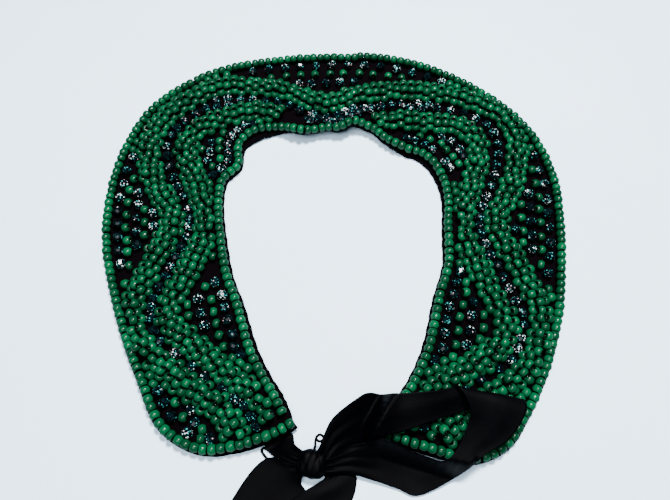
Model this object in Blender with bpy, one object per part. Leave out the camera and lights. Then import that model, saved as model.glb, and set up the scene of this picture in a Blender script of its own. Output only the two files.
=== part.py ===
"""Bib necklace: a beaded collar on a felt backing, tied with a ribbon, lying flat.

The collar is worked out on a middle line that runs from the left end, round the nape,
to the right end. A place on it is s, the distance along that line from the nape, and
across, a share that is 0 on the rim string and 1 on the neck string. The opening
between the two ends faces -Y and the nape +Y.
"""
import math

import bmesh
import bpy
import numpy as np

# Collar outline, between the centre lines of its two edge strings, in metres
NECK_WIDTH = 0.0996
NECK_DEPTH = 0.1388
BAND_WIDTH = 0.048
CORNER_RADIUS = 0.013
LEFT_END_SLANT = 0.0088
RIGHT_END_SLANT = 0.0036

# Felt backing
FELT_THICKNESS = 0.002
FELT_NECK_MARGIN = 0.0012
FELT_RIM_MARGIN = 0.0003

# Beadwork
BEAD_DIAMETER = 0.004
WAVE_WIDTH = 0.0106
WAVE_CROWN = 0.0013
LINE_LEAST_WIDTH = 0.0028
LINE_HEIGHT = 0.0033
FIELD_HEIGHT = 0.0036
FIELD_LEAST_WIDTH = 0.002

# Ribbon and its knot
RIBBON_WIDTH = 0.024
RIBBON_THICKNESS = 0.001
KNOT_LENGTH = 0.0104
KNOT_BREADTH = 0.0092
KNOT_HEIGHT = 0.0078
TIE_TUCK = 0.0045
TIE_SHOW = 0.0016

# Clearance between neighbouring pieces
GAP = 0.0003

# How finely the pieces are divided
COLLAR_SECTIONS = 78
SECTION_LEAST = 0.0012
OUTLINE_STEPS = 40
WAVE_STEPS = 12
CORNER_STEPS = 6
RIM_STRING_STEP = 0.0092
RIBBON_STEPS = 3
RIBBON_STRIPS = 4
KNOT_SIDES = 16
KNOT_RINGS = 10
SHARP_ANGLE = 50

# Outline of the collar, from the left end to the right end.
# neck_x and neck_y are shares of NECK_WIDTH and NECK_DEPTH, rib is the direction in
# degrees from the neck string to the rim string, band is a share of BAND_WIDTH.
STATIONS = (
    # neck_x, neck_y, rib, band
    (-0.118, -1.000, 184.1, 0.925),
    (-0.188, -0.924, 180.4, 0.975),
    (-0.259, -0.831, 179.6, 0.975),
    (-0.332, -0.731, 178.6, 0.980),
    (-0.405, -0.596, 176.4, 1.005),
    (-0.472, -0.450, 175.8, 1.000),
    (-0.500, -0.300, 174.8, 0.985),
    (-0.485, -0.187, 168.5, 0.995),
    (-0.423, -0.080, 153.5, 1.000),
    (-0.300, -0.012, 134.5, 0.945),
    (-0.154, -0.004, 111.5, 0.905),
    (0.022, 0.000, 90.0, 0.885),
    (0.192, -0.012, 69.5, 0.915),
    (0.334, -0.076, 48.5, 0.985),
    (0.445, -0.157, 27.5, 1.030),
    (0.498, -0.253, 10.5, 1.005),
    (0.500, -0.380, 2.0, 0.970),
    (0.475, -0.501, -4.0, 0.955),
    (0.427, -0.614, -8.4, 0.965),
    (0.378, -0.723, -9.3, 0.945),
    (0.309, -0.829, -9.4, 0.927),
    (0.224, -0.924, -9.9, 0.918),
    (0.163, -0.996, -10.5, 0.900),
)
NAPE_STATION = 11

# Middle of each bead wave. place is a share of the way from the nape to an end,
# across a share of the band's width.
OUTER_WAVE = (
    # place, across
    (-1.000, 0.57),
    (-0.930, 0.54),
    (-0.870, 0.33),
    (-0.810, 0.12),
    (-0.740, 0.12),
    (-0.645, 0.38),
    (-0.545, 0.61),
    (-0.455, 0.36),
    (-0.375, 0.19),
    (-0.265, 0.20),
    (-0.160, 0.40),
    (-0.022, 0.70),
    (0.095, 0.52),
    (0.195, 0.34),
    (0.275, 0.14),
    (0.340, 0.12),
    (0.435, 0.36),
    (0.535, 0.60),
    (0.630, 0.38),
    (0.720, 0.14),
    (0.815, 0.14),
    (0.910, 0.43),
    (1.000, 0.58),
)
LEFT_INNER_WAVE = (
    # place, across
    (-1.000, 0.90),
    (-0.920, 0.87),
    (-0.830, 0.60),
    (-0.775, 0.42),
    (-0.730, 0.41),
    (-0.660, 0.65),
    (-0.550, 0.89),
    (-0.450, 0.74),
    (-0.360, 0.51),
    (-0.260, 0.61),
    (-0.170, 0.77),
    (-0.060, 1.15),
)
RIGHT_INNER_WAVE = (
    # place, across
    (0.030, 1.15),
    (0.125, 0.89),
    (0.200, 0.75),
    (0.305, 0.48),
    (0.400, 0.66),
    (0.480, 0.84),
    (0.560, 0.88),
    (0.660, 0.66),
    (0.735, 0.41),
    (0.785, 0.40),
    (0.845, 0.62),
    (0.920, 0.86),
    (1.000, 0.85),
)

# Puckers of the neck edge. place and reach are shares of the way from the nape to an
# end. inward and lift are shares of BAND_WIDTH, inward towards the opening.
PUCKERS = (
    # place, reach, inward, lift
    (-0.250, 0.060, 0.020, 0.020),
    (-0.125, 0.060, -0.015, 0.035),
    (-0.070, 0.050, 0.030, 0.000),
    (0.000, 0.300, 0.000, 0.045),
    (0.035, 0.055, -0.030, 0.040),
    (0.110, 0.050, 0.030, 0.000),
    (0.195, 0.040, 0.010, 0.020),
)

# The ribbon's pieces, from the knot outwards. Each row is a line across the ribbon from
# one selvedge to the other. Plan places are shares of RIBBON_WIDTH from the middle of the
# knot, heights are shares of it above what the ribbon lies on.
LOOP = (
    # first_x, first_y, first_height, second_x, second_y, second_height
    (0.12, 0.17, 0.275, 0.205, 0.110, 0.225),
    (0.29, 0.59, 0.440, 0.440, 0.170, 0.140),
    (0.66, 0.80, 0.520, 0.840, 0.285, 0.085),
    (1.27, 0.95, 0.210, 1.340, 0.425, 0.050),
    (1.79, 0.98, 0.225, 2.020, 0.650, 0.050),
    (2.01, 1.02, 0.205, 2.470, 0.720, 0.050),
    (2.10, 1.04, 0.215, 2.880, 0.735, 0.060),
    (2.14, 1.00, 0.290, 3.110, 0.735, 0.140),
    (2.22, 0.89, 0.300, 3.080, 0.620, 0.185),
    (2.31, 0.70, 0.250, 2.920, 0.430, 0.175),
    (2.27, 0.51, 0.175, 2.750, 0.245, 0.135),
    (2.12, 0.22, 0.110, 2.480, 0.090, 0.100),
    (1.93, 0.02, 0.110, 2.080, -0.200, 0.110),
    (1.74, 0.05, 0.100, 1.560, -0.430, 0.045),
    (1.40, 0.17, 0.090, 1.260, -0.340, 0.055),
    (1.05, 0.31, 0.160, 0.950, -0.240, 0.085),
    (0.62, 0.25, 0.310, 0.540, -0.130, 0.120),
    (0.235, 0.080, 0.205, 0.215, -0.085, 0.165),
)
LEFT_TAIL = (
    # first_x, first_y, first_height, second_x, second_y, second_height
    (-0.225, -0.070, 0.110, -0.060, -0.205, 0.100),
    (-0.440, 0.010, 0.085, -0.125, -0.250, 0.070),
    (-0.690, 0.080, 0.050, -0.160, -0.310, 0.050),
    (-0.920, -0.100, 0.030, -0.150, -0.420, 0.030),
    (-1.170, -0.480, 0.025, -0.230, -0.580, 0.025),
    (-1.370, -0.880, 0.025, -0.420, -1.030, 0.025),
)
RIGHT_TAIL = (
    # first_x, first_y, first_height, second_x, second_y, second_height
    (0.060, -0.205, 0.095, 0.190, -0.160, 0.090),
    (0.150, -0.250, 0.060, 0.400, -0.190, 0.045),
    (0.050, -0.320, 0.090, 0.600, -0.280, 0.030),
    (-0.100, -0.400, 0.110, 0.560, -0.500, 0.025),
    (-0.290, -0.570, 0.110, 0.420, -0.790, 0.025),
    (-0.480, -0.840, 0.110, 0.240, -1.100, 0.025),
)
LEFT_TIE = (
    # first_x, first_y, first_height, second_x, second_y, second_height
    (-0.590, 0.140, 0.070, -0.300, 0.275, 0.085),
    (-0.245, 0.045, 0.160, -0.180, 0.145, 0.170),
)
RIGHT_TIE = (
    # first_x, first_y, first_height, second_x, second_y, second_height
    (0.640, 0.010, 0.035, 0.500, 0.290, 0.045),
    (0.240, -0.040, 0.090, 0.235, 0.055, 0.095),
)

# Where the knot lies between the collar's two neck corners, as shares of their distance
KNOT_ASIDE = -0.245
KNOT_BELOW = -0.345

# Depth of the ridges that the wound ribbon gives the knot, as a share of its radius
KNOT_RIDGE = 0.07

# Cross-sections of the beadwork: heights as shares of the bead or of the strip's height
WAVE_SHOULDER = 0.45
WAVE_VALLEY = 0.72
LINE_SHOULDER = 0.35
FIELD_SHOULDER = 0.40
FIELD_FLANK = 0.90

# Where the felt and the end strings get extra sections across, as shares from the rim
FELT_SHARES = (0.20, 0.40, 0.70)
FELT_SHARE_STEP = 0.01
END_SHARES = (0.40, 0.55, 0.70, 0.85)

# Colours as linear red, green and blue, then roughness
FELT_FINISH = ((0.004, 0.002, 0.004), 0.95)
BEAD_FINISH = ((0.004, 0.150, 0.045), 0.22)
CRYSTAL_FINISH = ((0.006, 0.020, 0.020), 0.10)
RIBBON_FINISH = ((0.004, 0.004, 0.007), 0.45)

BEAD_RADIUS = BEAD_DIAMETER / 2
BEAD_BASE = FELT_THICKNESS + GAP
END_LIFT = RIBBON_THICKNESS + 2 * GAP

# Where the ends rise over the tucked ties, as shares across and along each half
LIFT_START = 0.40
LIFT_FULL = 0.70
LIFT_PLACE_START = 0.84
LIFT_PLACE_FULL = 0.95
SLANT_START = 0.85

# The tucked ties' two selvedges, as shares across the band
TIE_OUTER = 0.73
TIE_INNER = 0.985


def clear_scene():
    """Remove what the scene holds."""
    for item in list(bpy.data.objects):
        bpy.data.objects.remove(item, do_unlink=True)


def finish(name, values):
    """A Principled material of one colour and roughness."""
    colour, roughness = values
    material = bpy.data.materials.new(name)
    material.use_nodes = True
    shader = material.node_tree.nodes["Principled BSDF"]
    shader.inputs["Base Color"].default_value = (*colour, 1.0)
    shader.inputs["Roughness"].default_value = roughness
    shader.inputs["Metallic"].default_value = 0.0
    material.diffuse_color = (*colour, 1.0)
    return material


def ease(value):
    """A smooth step from 0 to 1."""
    value = min(max(value, 0.0), 1.0)
    return value * value * (3.0 - 2.0 * value)


def smooth_rows(rows, steps):
    """Rows of a smooth curve through the given rows, with steps to each span."""
    rows = np.array(rows, float)
    before = 2 * rows[0] - rows[1]
    after = 2 * rows[-1] - rows[-2]
    knots = np.vstack([before, rows, after])
    result = []
    for index in range(len(rows) - 1):
        a, b, c, d = knots[index:index + 4]
        for step in range(steps):
            f = step / steps
            square = (2 * a - 5 * b + 4 * c - d) * f * f
            cube = (3 * b - a - 3 * c + d) * f ** 3
            result.append(0.5 * (2 * b + (c - a) * f + square + cube))
    result.append(rows[-1])
    return np.array(result)


class Collar:
    """The collar's surface: plan places, lifts and the borders of its beadwork."""

    PROBE = 0.001

    def __init__(self):
        fine = smooth_rows(STATIONS, OUTLINE_STEPS)
        angle = np.radians(fine[:, 2])
        width = fine[:, 3] * BAND_WIDTH
        self.neck = fine[:, :2] * (NECK_WIDTH, NECK_DEPTH)
        self.rim = self.neck + np.stack([np.cos(angle), np.sin(angle)], 1) * width[:, None]
        middle = 0.5 * (self.neck + self.rim)
        steps = np.linalg.norm(np.diff(middle, axis=0), axis=1)
        run = np.concatenate([[0.0], np.cumsum(steps)])
        self.run = run - run[NAPE_STATION * OUTLINE_STEPS]
        self.left = -self.run[0]
        self.right = self.run[-1]
        first = middle[1] - middle[0]
        last = middle[-1] - middle[-2]
        self.start_way = first / np.linalg.norm(first)
        self.end_way = last / np.linalg.norm(last)
        self.widths = width
        rib = (self.neck - self.rim) / width[:, None]
        self.rim_square = self.squareness(self.rim, rib)
        self.neck_square = self.squareness(self.neck, rib)
        self.square = self.squareness(middle, rib)
        self.lean = np.sum(self.directions(middle) * rib, axis=1)
        self.waves = {}
        for name, rows in (("outer", OUTER_WAVE), ("left", LEFT_INNER_WAVE),
                           ("right", RIGHT_INNER_WAVE)):
            self.waves[name] = smooth_rows(rows, WAVE_STEPS)

    @staticmethod
    def directions(line):
        """Unit directions along a line of points."""
        ways = np.gradient(line, axis=0)
        return ways / np.linalg.norm(ways, axis=1, keepdims=True)

    def squareness(self, line, rib):
        """Sine of the angle between a line and the ribs that cross it."""
        ways = self.directions(line)
        return np.abs(ways[:, 0] * rib[:, 1] - ways[:, 1] * rib[:, 0])

    def along_end(self, s, inset):
        """Distance along the middle line that leaves an inset from the end line."""
        square = self.square[-1] if s > 0 else self.square[0]
        return inset / float(square)

    def place(self, s):
        """Share of the way from the nape to an end, below 0 on the left."""
        return s / self.right if s > 0 else s / self.left

    def width(self, s):
        """Distance between the two edge strings' centre lines."""
        return float(np.interp(s, self.run, self.widths))

    def slant(self, s, across):
        """How far the end line draws the surface back towards the nape."""
        share = min(max(across, 0.0), 1.1)
        reach = ease((abs(self.place(s)) - SLANT_START) / (1.0 - SLANT_START))
        if s > 0:
            return -RIGHT_END_SLANT * share ** 2 * reach
        return LEFT_END_SLANT * share ** 3 * reach

    def pucker(self, s, column):
        """Sum of one column of the puckers at s, on the neck edge."""
        place = self.place(s)
        total = 0.0
        for row in PUCKERS:
            away = abs(place - row[0]) / row[1]
            if away < 1.0:
                total += row[column] * 0.5 * (1.0 + math.cos(math.pi * away))
        return total * BAND_WIDTH

    def lift(self, s, across):
        """Height of the felt's underside: the neck edge's puckers and the tucked ties."""
        share = min(max(across, 0.0), 1.1)
        rise = self.pucker(s, 3) * share
        along = (abs(self.place(s)) - LIFT_PLACE_START) / (LIFT_PLACE_FULL - LIFT_PLACE_START)
        aside = (share - LIFT_START) / (LIFT_FULL - LIFT_START)
        return rise + END_LIFT * ease(along) * min(max(aside, 0.0), 1.0)

    def plan(self, s, across):
        """Plan place at s along the middle line and across the band."""
        drawn = s + self.slant(s, across)
        inside = min(max(drawn, self.run[0]), self.run[-1])
        neck = np.array([np.interp(inside, self.run, self.neck[:, k]) for k in (0, 1)])
        rim = np.array([np.interp(inside, self.run, self.rim[:, k]) for k in (0, 1)])
        rib = neck - rim
        share = min(max(across, 0.0), 1.0)
        shift = self.pucker(s, 2) * share ** 2 / np.linalg.norm(rib)
        beyond = drawn - inside
        way = self.end_way if beyond > 0 else self.start_way
        return rim + rib * (across + shift) + way * beyond

    def point(self, s, across, height):
        """Point of the collar at a height above the felt's underside."""
        x, y = self.plan(s, across)
        return (float(x), float(y), self.lift(s, across) + height)

    def end(self, s):
        """Length of the half that s lies in, from the nape to its end string."""
        return self.right if s > 0 else self.left

    def rim_border(self, s, inset):
        """Share across of a line that runs inset from the rim string, round the corners."""
        square = float(np.interp(s, self.run, self.rim_square))
        radius = CORNER_RADIUS - self.along_end(s, inset)
        past = abs(s) - (self.end(s) - CORNER_RADIUS)
        depth = inset / square
        if past > 0:
            turn = math.sqrt(max(1.0 - (past / radius) ** 2, 0.0))
            depth = CORNER_RADIUS - (CORNER_RADIUS - depth) * turn
        return depth / self.width(s)

    def neck_border(self, s, inset):
        """Share across of a line that runs inset from the neck string."""
        square = float(np.interp(s, self.run, self.neck_square))
        return 1.0 - inset / square / self.width(s)

    def wave(self, name, s):
        """Middle of a wave, and half its width along the rib, as shares across."""
        rows = self.waves[name]
        probe = self.PROBE

        def middle(at):
            return float(np.interp(self.place(at), rows[:, 0], rows[:, 1]))

        slope = (middle(s + probe) - middle(s - probe)) * self.width(s) / (2 * probe)
        square = float(np.interp(s, self.run, self.square))
        lean = float(np.interp(s, self.run, self.lean))
        steep = math.sqrt(1.0 + slope ** 2 + 2.0 * slope * lean) / square
        return middle(s), 0.5 * WAVE_WIDTH * steep / self.width(s)

    def closed(self, s, gap):
        """A field's width as a share, closed up gently where it gets too narrow."""
        least = FIELD_LEAST_WIDTH / self.width(s)
        return max(min(gap, 2.0 * (gap - least)), 0.0)

    def borders(self, s):
        """Shares across of each strip of beadwork at s, as pairs from rim to neck."""
        rim = self.rim_border(s, BEAD_RADIUS + GAP)
        neck = self.neck_border(s, BEAD_RADIUS + GAP)
        gap = GAP / self.width(s)
        middle, half = self.wave("outer", s)
        outer_low = rim + self.closed(s, middle - half - rim)
        outer_high = middle + half
        middle, half = self.wave("right" if s > 0 else "left", s)
        line = LINE_LEAST_WIDTH / self.width(s)
        inner_low = min(max(middle - half, outer_high + line + 2 * gap), neck + gap)
        inner_high = max(neck - self.closed(s, neck - middle - half), inner_low)
        return {
            "rim_field": (rim, outer_low - gap),
            "outer_wave": (outer_low, outer_high),
            "line": (outer_high + gap, min(inner_low - gap, neck)),
            "inner_wave": (inner_low, inner_high),
            "neck_field": (inner_high + gap, neck),
        }


def add_object(name, mesh, look):
    """Put a mesh in the scene as a named object with its own material."""
    mesh.materials.append(finish(name, look))
    item = bpy.data.objects.new(name, mesh)
    bpy.context.scene.collection.objects.link(item)
    return item


def loft(name, rings, look):
    """Closed body through rings of equal length, capped at both ends."""
    work = bmesh.new()
    loops = [[work.verts.new(point) for point in ring] for ring in rings]
    size = len(loops[0])
    for before, after in zip(loops, loops[1:]):
        for k in range(size):
            after_k = (k + 1) % size
            work.faces.new((before[k], before[after_k], after[after_k], after[k]))
    work.faces.new(list(reversed(loops[0])))
    work.faces.new(loops[-1])
    bmesh.ops.recalc_face_normals(work, faces=work.faces)
    mesh = bpy.data.meshes.new(name)
    work.to_mesh(mesh)
    work.free()
    mesh.shade_smooth()
    mesh.set_sharp_from_angle(angle=math.radians(SHARP_ANGLE))
    return add_object(name, mesh, look)


def string(name, points, look):
    """A string of beads as a round tube through its points."""
    curve = bpy.data.curves.new(name, "CURVE")
    curve.dimensions = "3D"
    curve.bevel_depth = BEAD_RADIUS
    curve.bevel_resolution = 2
    curve.use_fill_caps = True
    spline = curve.splines.new("POLY")
    spline.points.add(len(points) - 1)
    for knot, point in zip(spline.points, points):
        knot.co = (*point, 1.0)
    return add_object(name, curve, look)


def grid(collar):
    """Evenly spaced places along the middle line that all the strips share."""
    return np.linspace(-collar.left, collar.right, COLLAR_SECTIONS)


def places(collar, low, high, corners=None):
    """Shared places between two ends, with extra ones round a corner of some inset."""
    found = [low, high]
    least = SECTION_LEAST
    found += [s for s in grid(collar) if low + least < s < high - least]
    if corners is not None:
        for sign, reach in ((-1, collar.left), (1, collar.right)):
            radius = CORNER_RADIUS - collar.along_end(sign, corners)
            for step in range(1, CORNER_STEPS):
                turn = 0.5 * math.pi * step / CORNER_STEPS
                s = sign * (reach - CORNER_RADIUS + radius * math.sin(turn))
                if low < s < high:
                    found.append(s)
    found.sort()
    kept = [found[0]]
    for s in found[1:-1]:
        if s - kept[-1] > least and high - s > 0.5 * least:
            kept.append(s)
    kept.append(found[-1])
    return kept


def backing(collar, look):
    """The felt: one sheet with the collar's outline, rounded at the rim corners."""
    rim_margin = BEAD_RADIUS + FELT_RIM_MARGIN
    neck_margin = BEAD_RADIUS + FELT_NECK_MARGIN
    rings = []
    low = -collar.left - collar.along_end(-1, rim_margin)
    high = collar.right + collar.along_end(1, rim_margin)
    for s in places(collar, low, high, corners=-rim_margin):
        first = collar.rim_border(s, -rim_margin)
        last = collar.neck_border(s, -neck_margin)
        shares = [first]
        for k, share in enumerate(FELT_SHARES):
            shares.append(max(share, first + FELT_SHARE_STEP * (k + 1)))
        shares.append(last)
        top = [collar.point(s, share, FELT_THICKNESS) for share in shares]
        under = [collar.point(s, share, 0.0) for share in reversed(shares)]
        rings.append(top + under)
    return loft("backing", rings, look)


def rim_string(collar, look):
    """The string round the rim, both outer corners and both ends."""
    height = BEAD_BASE + BEAD_RADIUS

    def end_points(sign, reach):
        points = []
        for step in range(1, CORNER_STEPS + 1):
            turn = 0.5 * math.pi * step / CORNER_STEPS
            s = sign * (reach - CORNER_RADIUS * (1.0 - math.sin(turn)))
            points.append(collar.point(s, collar.rim_border(s, 0.0), height))
        s = sign * reach
        for share in END_SHARES:
            points.append(collar.point(s, share, height))
        points.append(collar.point(s, collar.neck_border(s, -BEAD_RADIUS), height))
        return points

    low = -collar.left + CORNER_RADIUS
    high = collar.right - CORNER_RADIUS
    reach = np.linalg.norm(np.diff(collar.rim, axis=0), axis=1).sum()
    count = int(reach / RIM_STRING_STEP)
    along = [collar.point(s, 0.0, height) for s in np.linspace(low, high, count)]
    left = end_points(-1, collar.left)
    right = end_points(1, collar.right)
    return string("rim_string", left[::-1] + along + right, look)


def neck_string(collar, look):
    """The string along the neck edge, between the two end strings."""
    inset = BEAD_DIAMETER + GAP
    height = BEAD_BASE + BEAD_RADIUS
    low = -collar.left + collar.along_end(-1, inset)
    high = collar.right - collar.along_end(1, inset)
    run = places(collar, low, high)
    return string("neck_string", [collar.point(s, 1.0, height) for s in run], look)


def profile(kind):
    """Cross-section of a strip: shares across it and heights above its base."""
    if kind == "wave":
        shoulder = WAVE_SHOULDER * BEAD_DIAMETER
        valley = WAVE_VALLEY * BEAD_DIAMETER + 0.5 * WAVE_CROWN
        crest = BEAD_DIAMETER + WAVE_CROWN
        return ((0.0, shoulder), (1 / 6, BEAD_DIAMETER), (1 / 3, valley), (0.5, crest),
                (2 / 3, valley), (5 / 6, BEAD_DIAMETER), (1.0, shoulder))
    if kind == "line":
        shoulder = LINE_SHOULDER * LINE_HEIGHT
        return ((0.0, shoulder), (0.5, LINE_HEIGHT), (1.0, shoulder))
    shoulder = FIELD_SHOULDER * FIELD_HEIGHT
    flank = FIELD_FLANK * FIELD_HEIGHT
    return ((0.0, shoulder), (0.25, flank), (0.5, FIELD_HEIGHT), (0.75, flank),
            (1.0, shoulder))


def strip(collar, name, strip_name, low, high, kind, look):
    """One strip of beadwork between two places, from its borders and profile."""
    corners = BEAD_RADIUS + GAP if strip_name == "rim_field" else None
    section = profile(kind)
    rings = []
    for s in places(collar, low, high, corners=corners):
        first, last = collar.borders(s)[strip_name]
        top = []
        for share, height in section:
            across = first + (last - first) * share
            top.append(collar.point(s, across, BEAD_BASE + height))
        under = [collar.point(s, last, BEAD_BASE), collar.point(s, first, BEAD_BASE)]
        rings.append(top + under)
    return loft(name, rings, look)


def runs(collar, strip_name):
    """Stretches of the middle line where a strip is wide enough to hold beads.

    A stretch starts and stops at shared places, so that neighbours keep their gap.
    """
    search_steps = 880
    inset = BEAD_RADIUS + 1.5 * GAP
    low = -collar.left + collar.along_end(-1, inset)
    high = collar.right - collar.along_end(1, inset)
    fine = np.linspace(low, high, search_steps)
    found = []
    start = None
    for s in fine:
        first, last = collar.borders(s)[strip_name]
        wide = (last - first) * collar.width(s) > FIELD_LEAST_WIDTH
        if wide and start is None:
            start = s
        if start is not None and (not wide or s == fine[-1]):
            found.append((start, last_wide if not wide else s))
            start = None
        last_wide = s
    snapped = []
    for start, stop in found:
        shared = [s for s in grid(collar) if start <= s <= stop]
        if len(shared) > 2:
            first = start if start == fine[0] else shared[0]
            last = stop if stop == fine[-1] else shared[-1]
            snapped.append((first, last))
    return snapped


def beadwork(collar, beads, crystals):
    """The waves, the crystal line and the crystal fields between the strings."""
    made = []
    jobs = (
        ("outer_wave", "wave", beads, ("outer_wave",)),
        ("inner_wave", "wave", beads, ("left_inner_wave", "right_inner_wave")),
        ("line", "line", crystals, ("crystal_line",)),
        ("rim_field", "field", crystals,
         ("left_end_rim_field", "left_rim_field", "nape_rim_field", "right_rim_field",
          "right_end_rim_field")),
        ("neck_field", "field", crystals,
         ("left_front_neck_field", "left_back_neck_field", "right_back_neck_field",
          "right_front_neck_field")),
    )
    for strip_name, kind, look, names in jobs:
        for name, (low, high) in zip(names, runs(collar, strip_name)):
            made.append(strip(collar, name, strip_name, low, high, kind, look))
    return made


class Table:
    """What the ribbon lies on: the floor, and the beaded collar above it.

    The ribbon rests at full height up to REST outside the collar's samples, and comes
    down to the floor over SLOPE beyond that.
    """

    SLOPE = 0.006
    REST = 0.0022
    SAMPLES_ALONG = 180
    SAMPLES_ACROSS = 15

    def __init__(self, collar):
        self.top = BEAD_BASE + BEAD_DIAMETER + WAVE_CROWN + END_LIFT
        samples = []
        for s in np.linspace(-collar.left, collar.right, self.SAMPLES_ALONG):
            for across in np.linspace(0.0, 1.0, self.SAMPLES_ACROSS):
                across = max(across, collar.rim_border(s, 0.0))
                samples.append(collar.plan(s, across))
        self.samples = np.array(samples)

    def height(self, x, y):
        """Height of the support under a plan place."""
        away = float(np.min(np.linalg.norm(self.samples - (x, y), axis=1)))
        return self.top * ease(1.0 - (away - self.REST) / self.SLOPE)


def knot_place(collar):
    """Plan place of the knot, between the collar's two neck corners."""
    left = collar.plan(-collar.left, 1.0)
    right = collar.plan(collar.right, 1.0)
    apart = float(np.linalg.norm(right - left))
    return 0.5 * (left + right) + np.array([KNOT_ASIDE, KNOT_BELOW]) * apart


def ribbon_rows(rows, knot):
    """Rows of a ribbon table as pairs of selvedge points."""
    result = []
    for row in smooth_rows(rows, RIBBON_STEPS):
        pair = []
        for x, y, height in (row[:3], row[3:]):
            x = knot[0] + x * RIBBON_WIDTH
            y = knot[1] + y * RIBBON_WIDTH
            pair.append(np.array([x, y, height * RIBBON_WIDTH]))
        result.append(pair)
    return result


def ribbon(name, pairs, table, look):
    """A sheet between pairs of selvedge points, laid on what is under it."""
    count = RIBBON_STRIPS + 1
    surface = np.zeros((len(pairs), count, 3))
    for i, (first, second) in enumerate(pairs):
        for k in range(count):
            point = first + (second - first) * k / RIBBON_STRIPS
            under = table.height(point[0], point[1]) if table is not None else 0.0
            surface[i, k] = (point[0], point[1], point[2] + under)
    along = np.gradient(surface, axis=0)
    across = np.gradient(surface, axis=1)
    normal = np.cross(along, across)
    normal /= np.linalg.norm(normal, axis=2, keepdims=True)
    offset = normal * RIBBON_THICKNESS / 2
    rings = []
    for i in range(len(pairs)):
        face = [tuple(p) for p in surface[i] + offset[i]]
        back = [tuple(p) for p in (surface[i] - offset[i])[::-1]]
        rings.append(face + back)
    return loft(name, rings, look)


def tie_pairs(collar, sign, rows, knot):
    """A tie's selvedge pairs: tucked under the felt's end, then on to the knot."""
    reach = collar.right if sign > 0 else collar.left
    edge = reach + collar.along_end(sign, BEAD_RADIUS + FELT_RIM_MARGIN)
    middle = (RIBBON_THICKNESS + GAP) / 2
    pairs = []
    for s in (edge - TIE_TUCK, edge, edge + TIE_SHOW):
        pair = []
        for share in (TIE_OUTER, TIE_INNER):
            x, y = collar.plan(sign * s, share)
            pair.append(np.array([x, y, middle]))
        pairs.append(pair)
    tail = []
    for row in rows:
        tail.append([np.array([knot[0] + row[k] * RIBBON_WIDTH,
                               knot[1] + row[k + 1] * RIBBON_WIDTH,
                               row[k + 2] * RIBBON_WIDTH]) for k in (0, 3)])
    joined = np.array([np.concatenate(pair) for pair in pairs[1:] + tail])
    smooth = smooth_rows(joined, RIBBON_STEPS)
    return [pairs[0]] + [(row[:3], row[3:]) for row in smooth]


def knot_solid(place, look):
    """The knot: a squashed ball with the ridges of the ribbon wound round it."""
    half = (KNOT_LENGTH / 2, KNOT_BREADTH / 2, KNOT_HEIGHT / 2)
    work = bmesh.new()
    bmesh.ops.create_uvsphere(work, u_segments=KNOT_SIDES, v_segments=KNOT_RINGS, radius=1.0)
    for vertex in work.verts:
        x, y, z = vertex.co
        groove = 1.0 - math.cos(3.0 * math.pi * x)
        ridge = 1.0 - KNOT_RIDGE * groove * (1.0 - z * z)
        vertex.co = (place[0] + x * half[0], place[1] + y * half[1] * ridge,
                     (1.0 + z * ridge) * half[2])
    mesh = bpy.data.meshes.new("knot")
    work.to_mesh(mesh)
    work.free()
    mesh.shade_smooth()
    return add_object("knot", mesh, look)


def centre_on_floor(items):
    """Move all the meshes so that the box's bottom centre is the origin."""
    bpy.context.view_layer.update()
    graph = bpy.context.evaluated_depsgraph_get()
    corners = []
    for item in items:
        mesh = item.evaluated_get(graph).to_mesh()
        corners += [tuple(vertex.co) for vertex in mesh.vertices]
    corners = np.array(corners)
    low = corners.min(axis=0)
    high = corners.max(axis=0)
    shift = (-(low[0] + high[0]) / 2, -(low[1] + high[1]) / 2, -low[2])
    for item in items:
        item.location = shift


def main():
    """Build the necklace."""
    clear_scene()
    collar = Collar()
    table = Table(collar)
    knot = knot_place(collar)
    items = [backing(collar, FELT_FINISH)]
    items.append(rim_string(collar, BEAD_FINISH))
    items.append(neck_string(collar, BEAD_FINISH))
    items += beadwork(collar, BEAD_FINISH, CRYSTAL_FINISH)
    for name, sign, rows in (("left_tie", -1, LEFT_TIE), ("right_tie", 1, RIGHT_TIE)):
        pairs = tie_pairs(collar, sign, rows, knot)
        items.append(ribbon(name, pairs, None, RIBBON_FINISH))
    items.append(knot_solid(knot, RIBBON_FINISH))
    for name, rows, under in (("ribbon_loop", LOOP, table), ("left_tail", LEFT_TAIL, None),
                              ("right_tail", RIGHT_TAIL, None)):
        items.append(ribbon(name, ribbon_rows(rows, knot), under, RIBBON_FINISH))
    centre_on_floor(items)


main()
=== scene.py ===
"""Bib necklace: the looks of a beaded collar on felt, tied with a satin ribbon.

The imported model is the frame. Beads, crystals, felt, threads and ribbon are set on the
same surface that the solids were built on, and each piece stands for its solid.
"""

import logging
import math
import random
from dataclasses import dataclass, field
from enum import Enum
from typing import Callable, Optional, Sequence

import bpy
import numpy as np
from mathutils import Matrix, Vector
from mathutils.kdtree import KDTree


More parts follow.
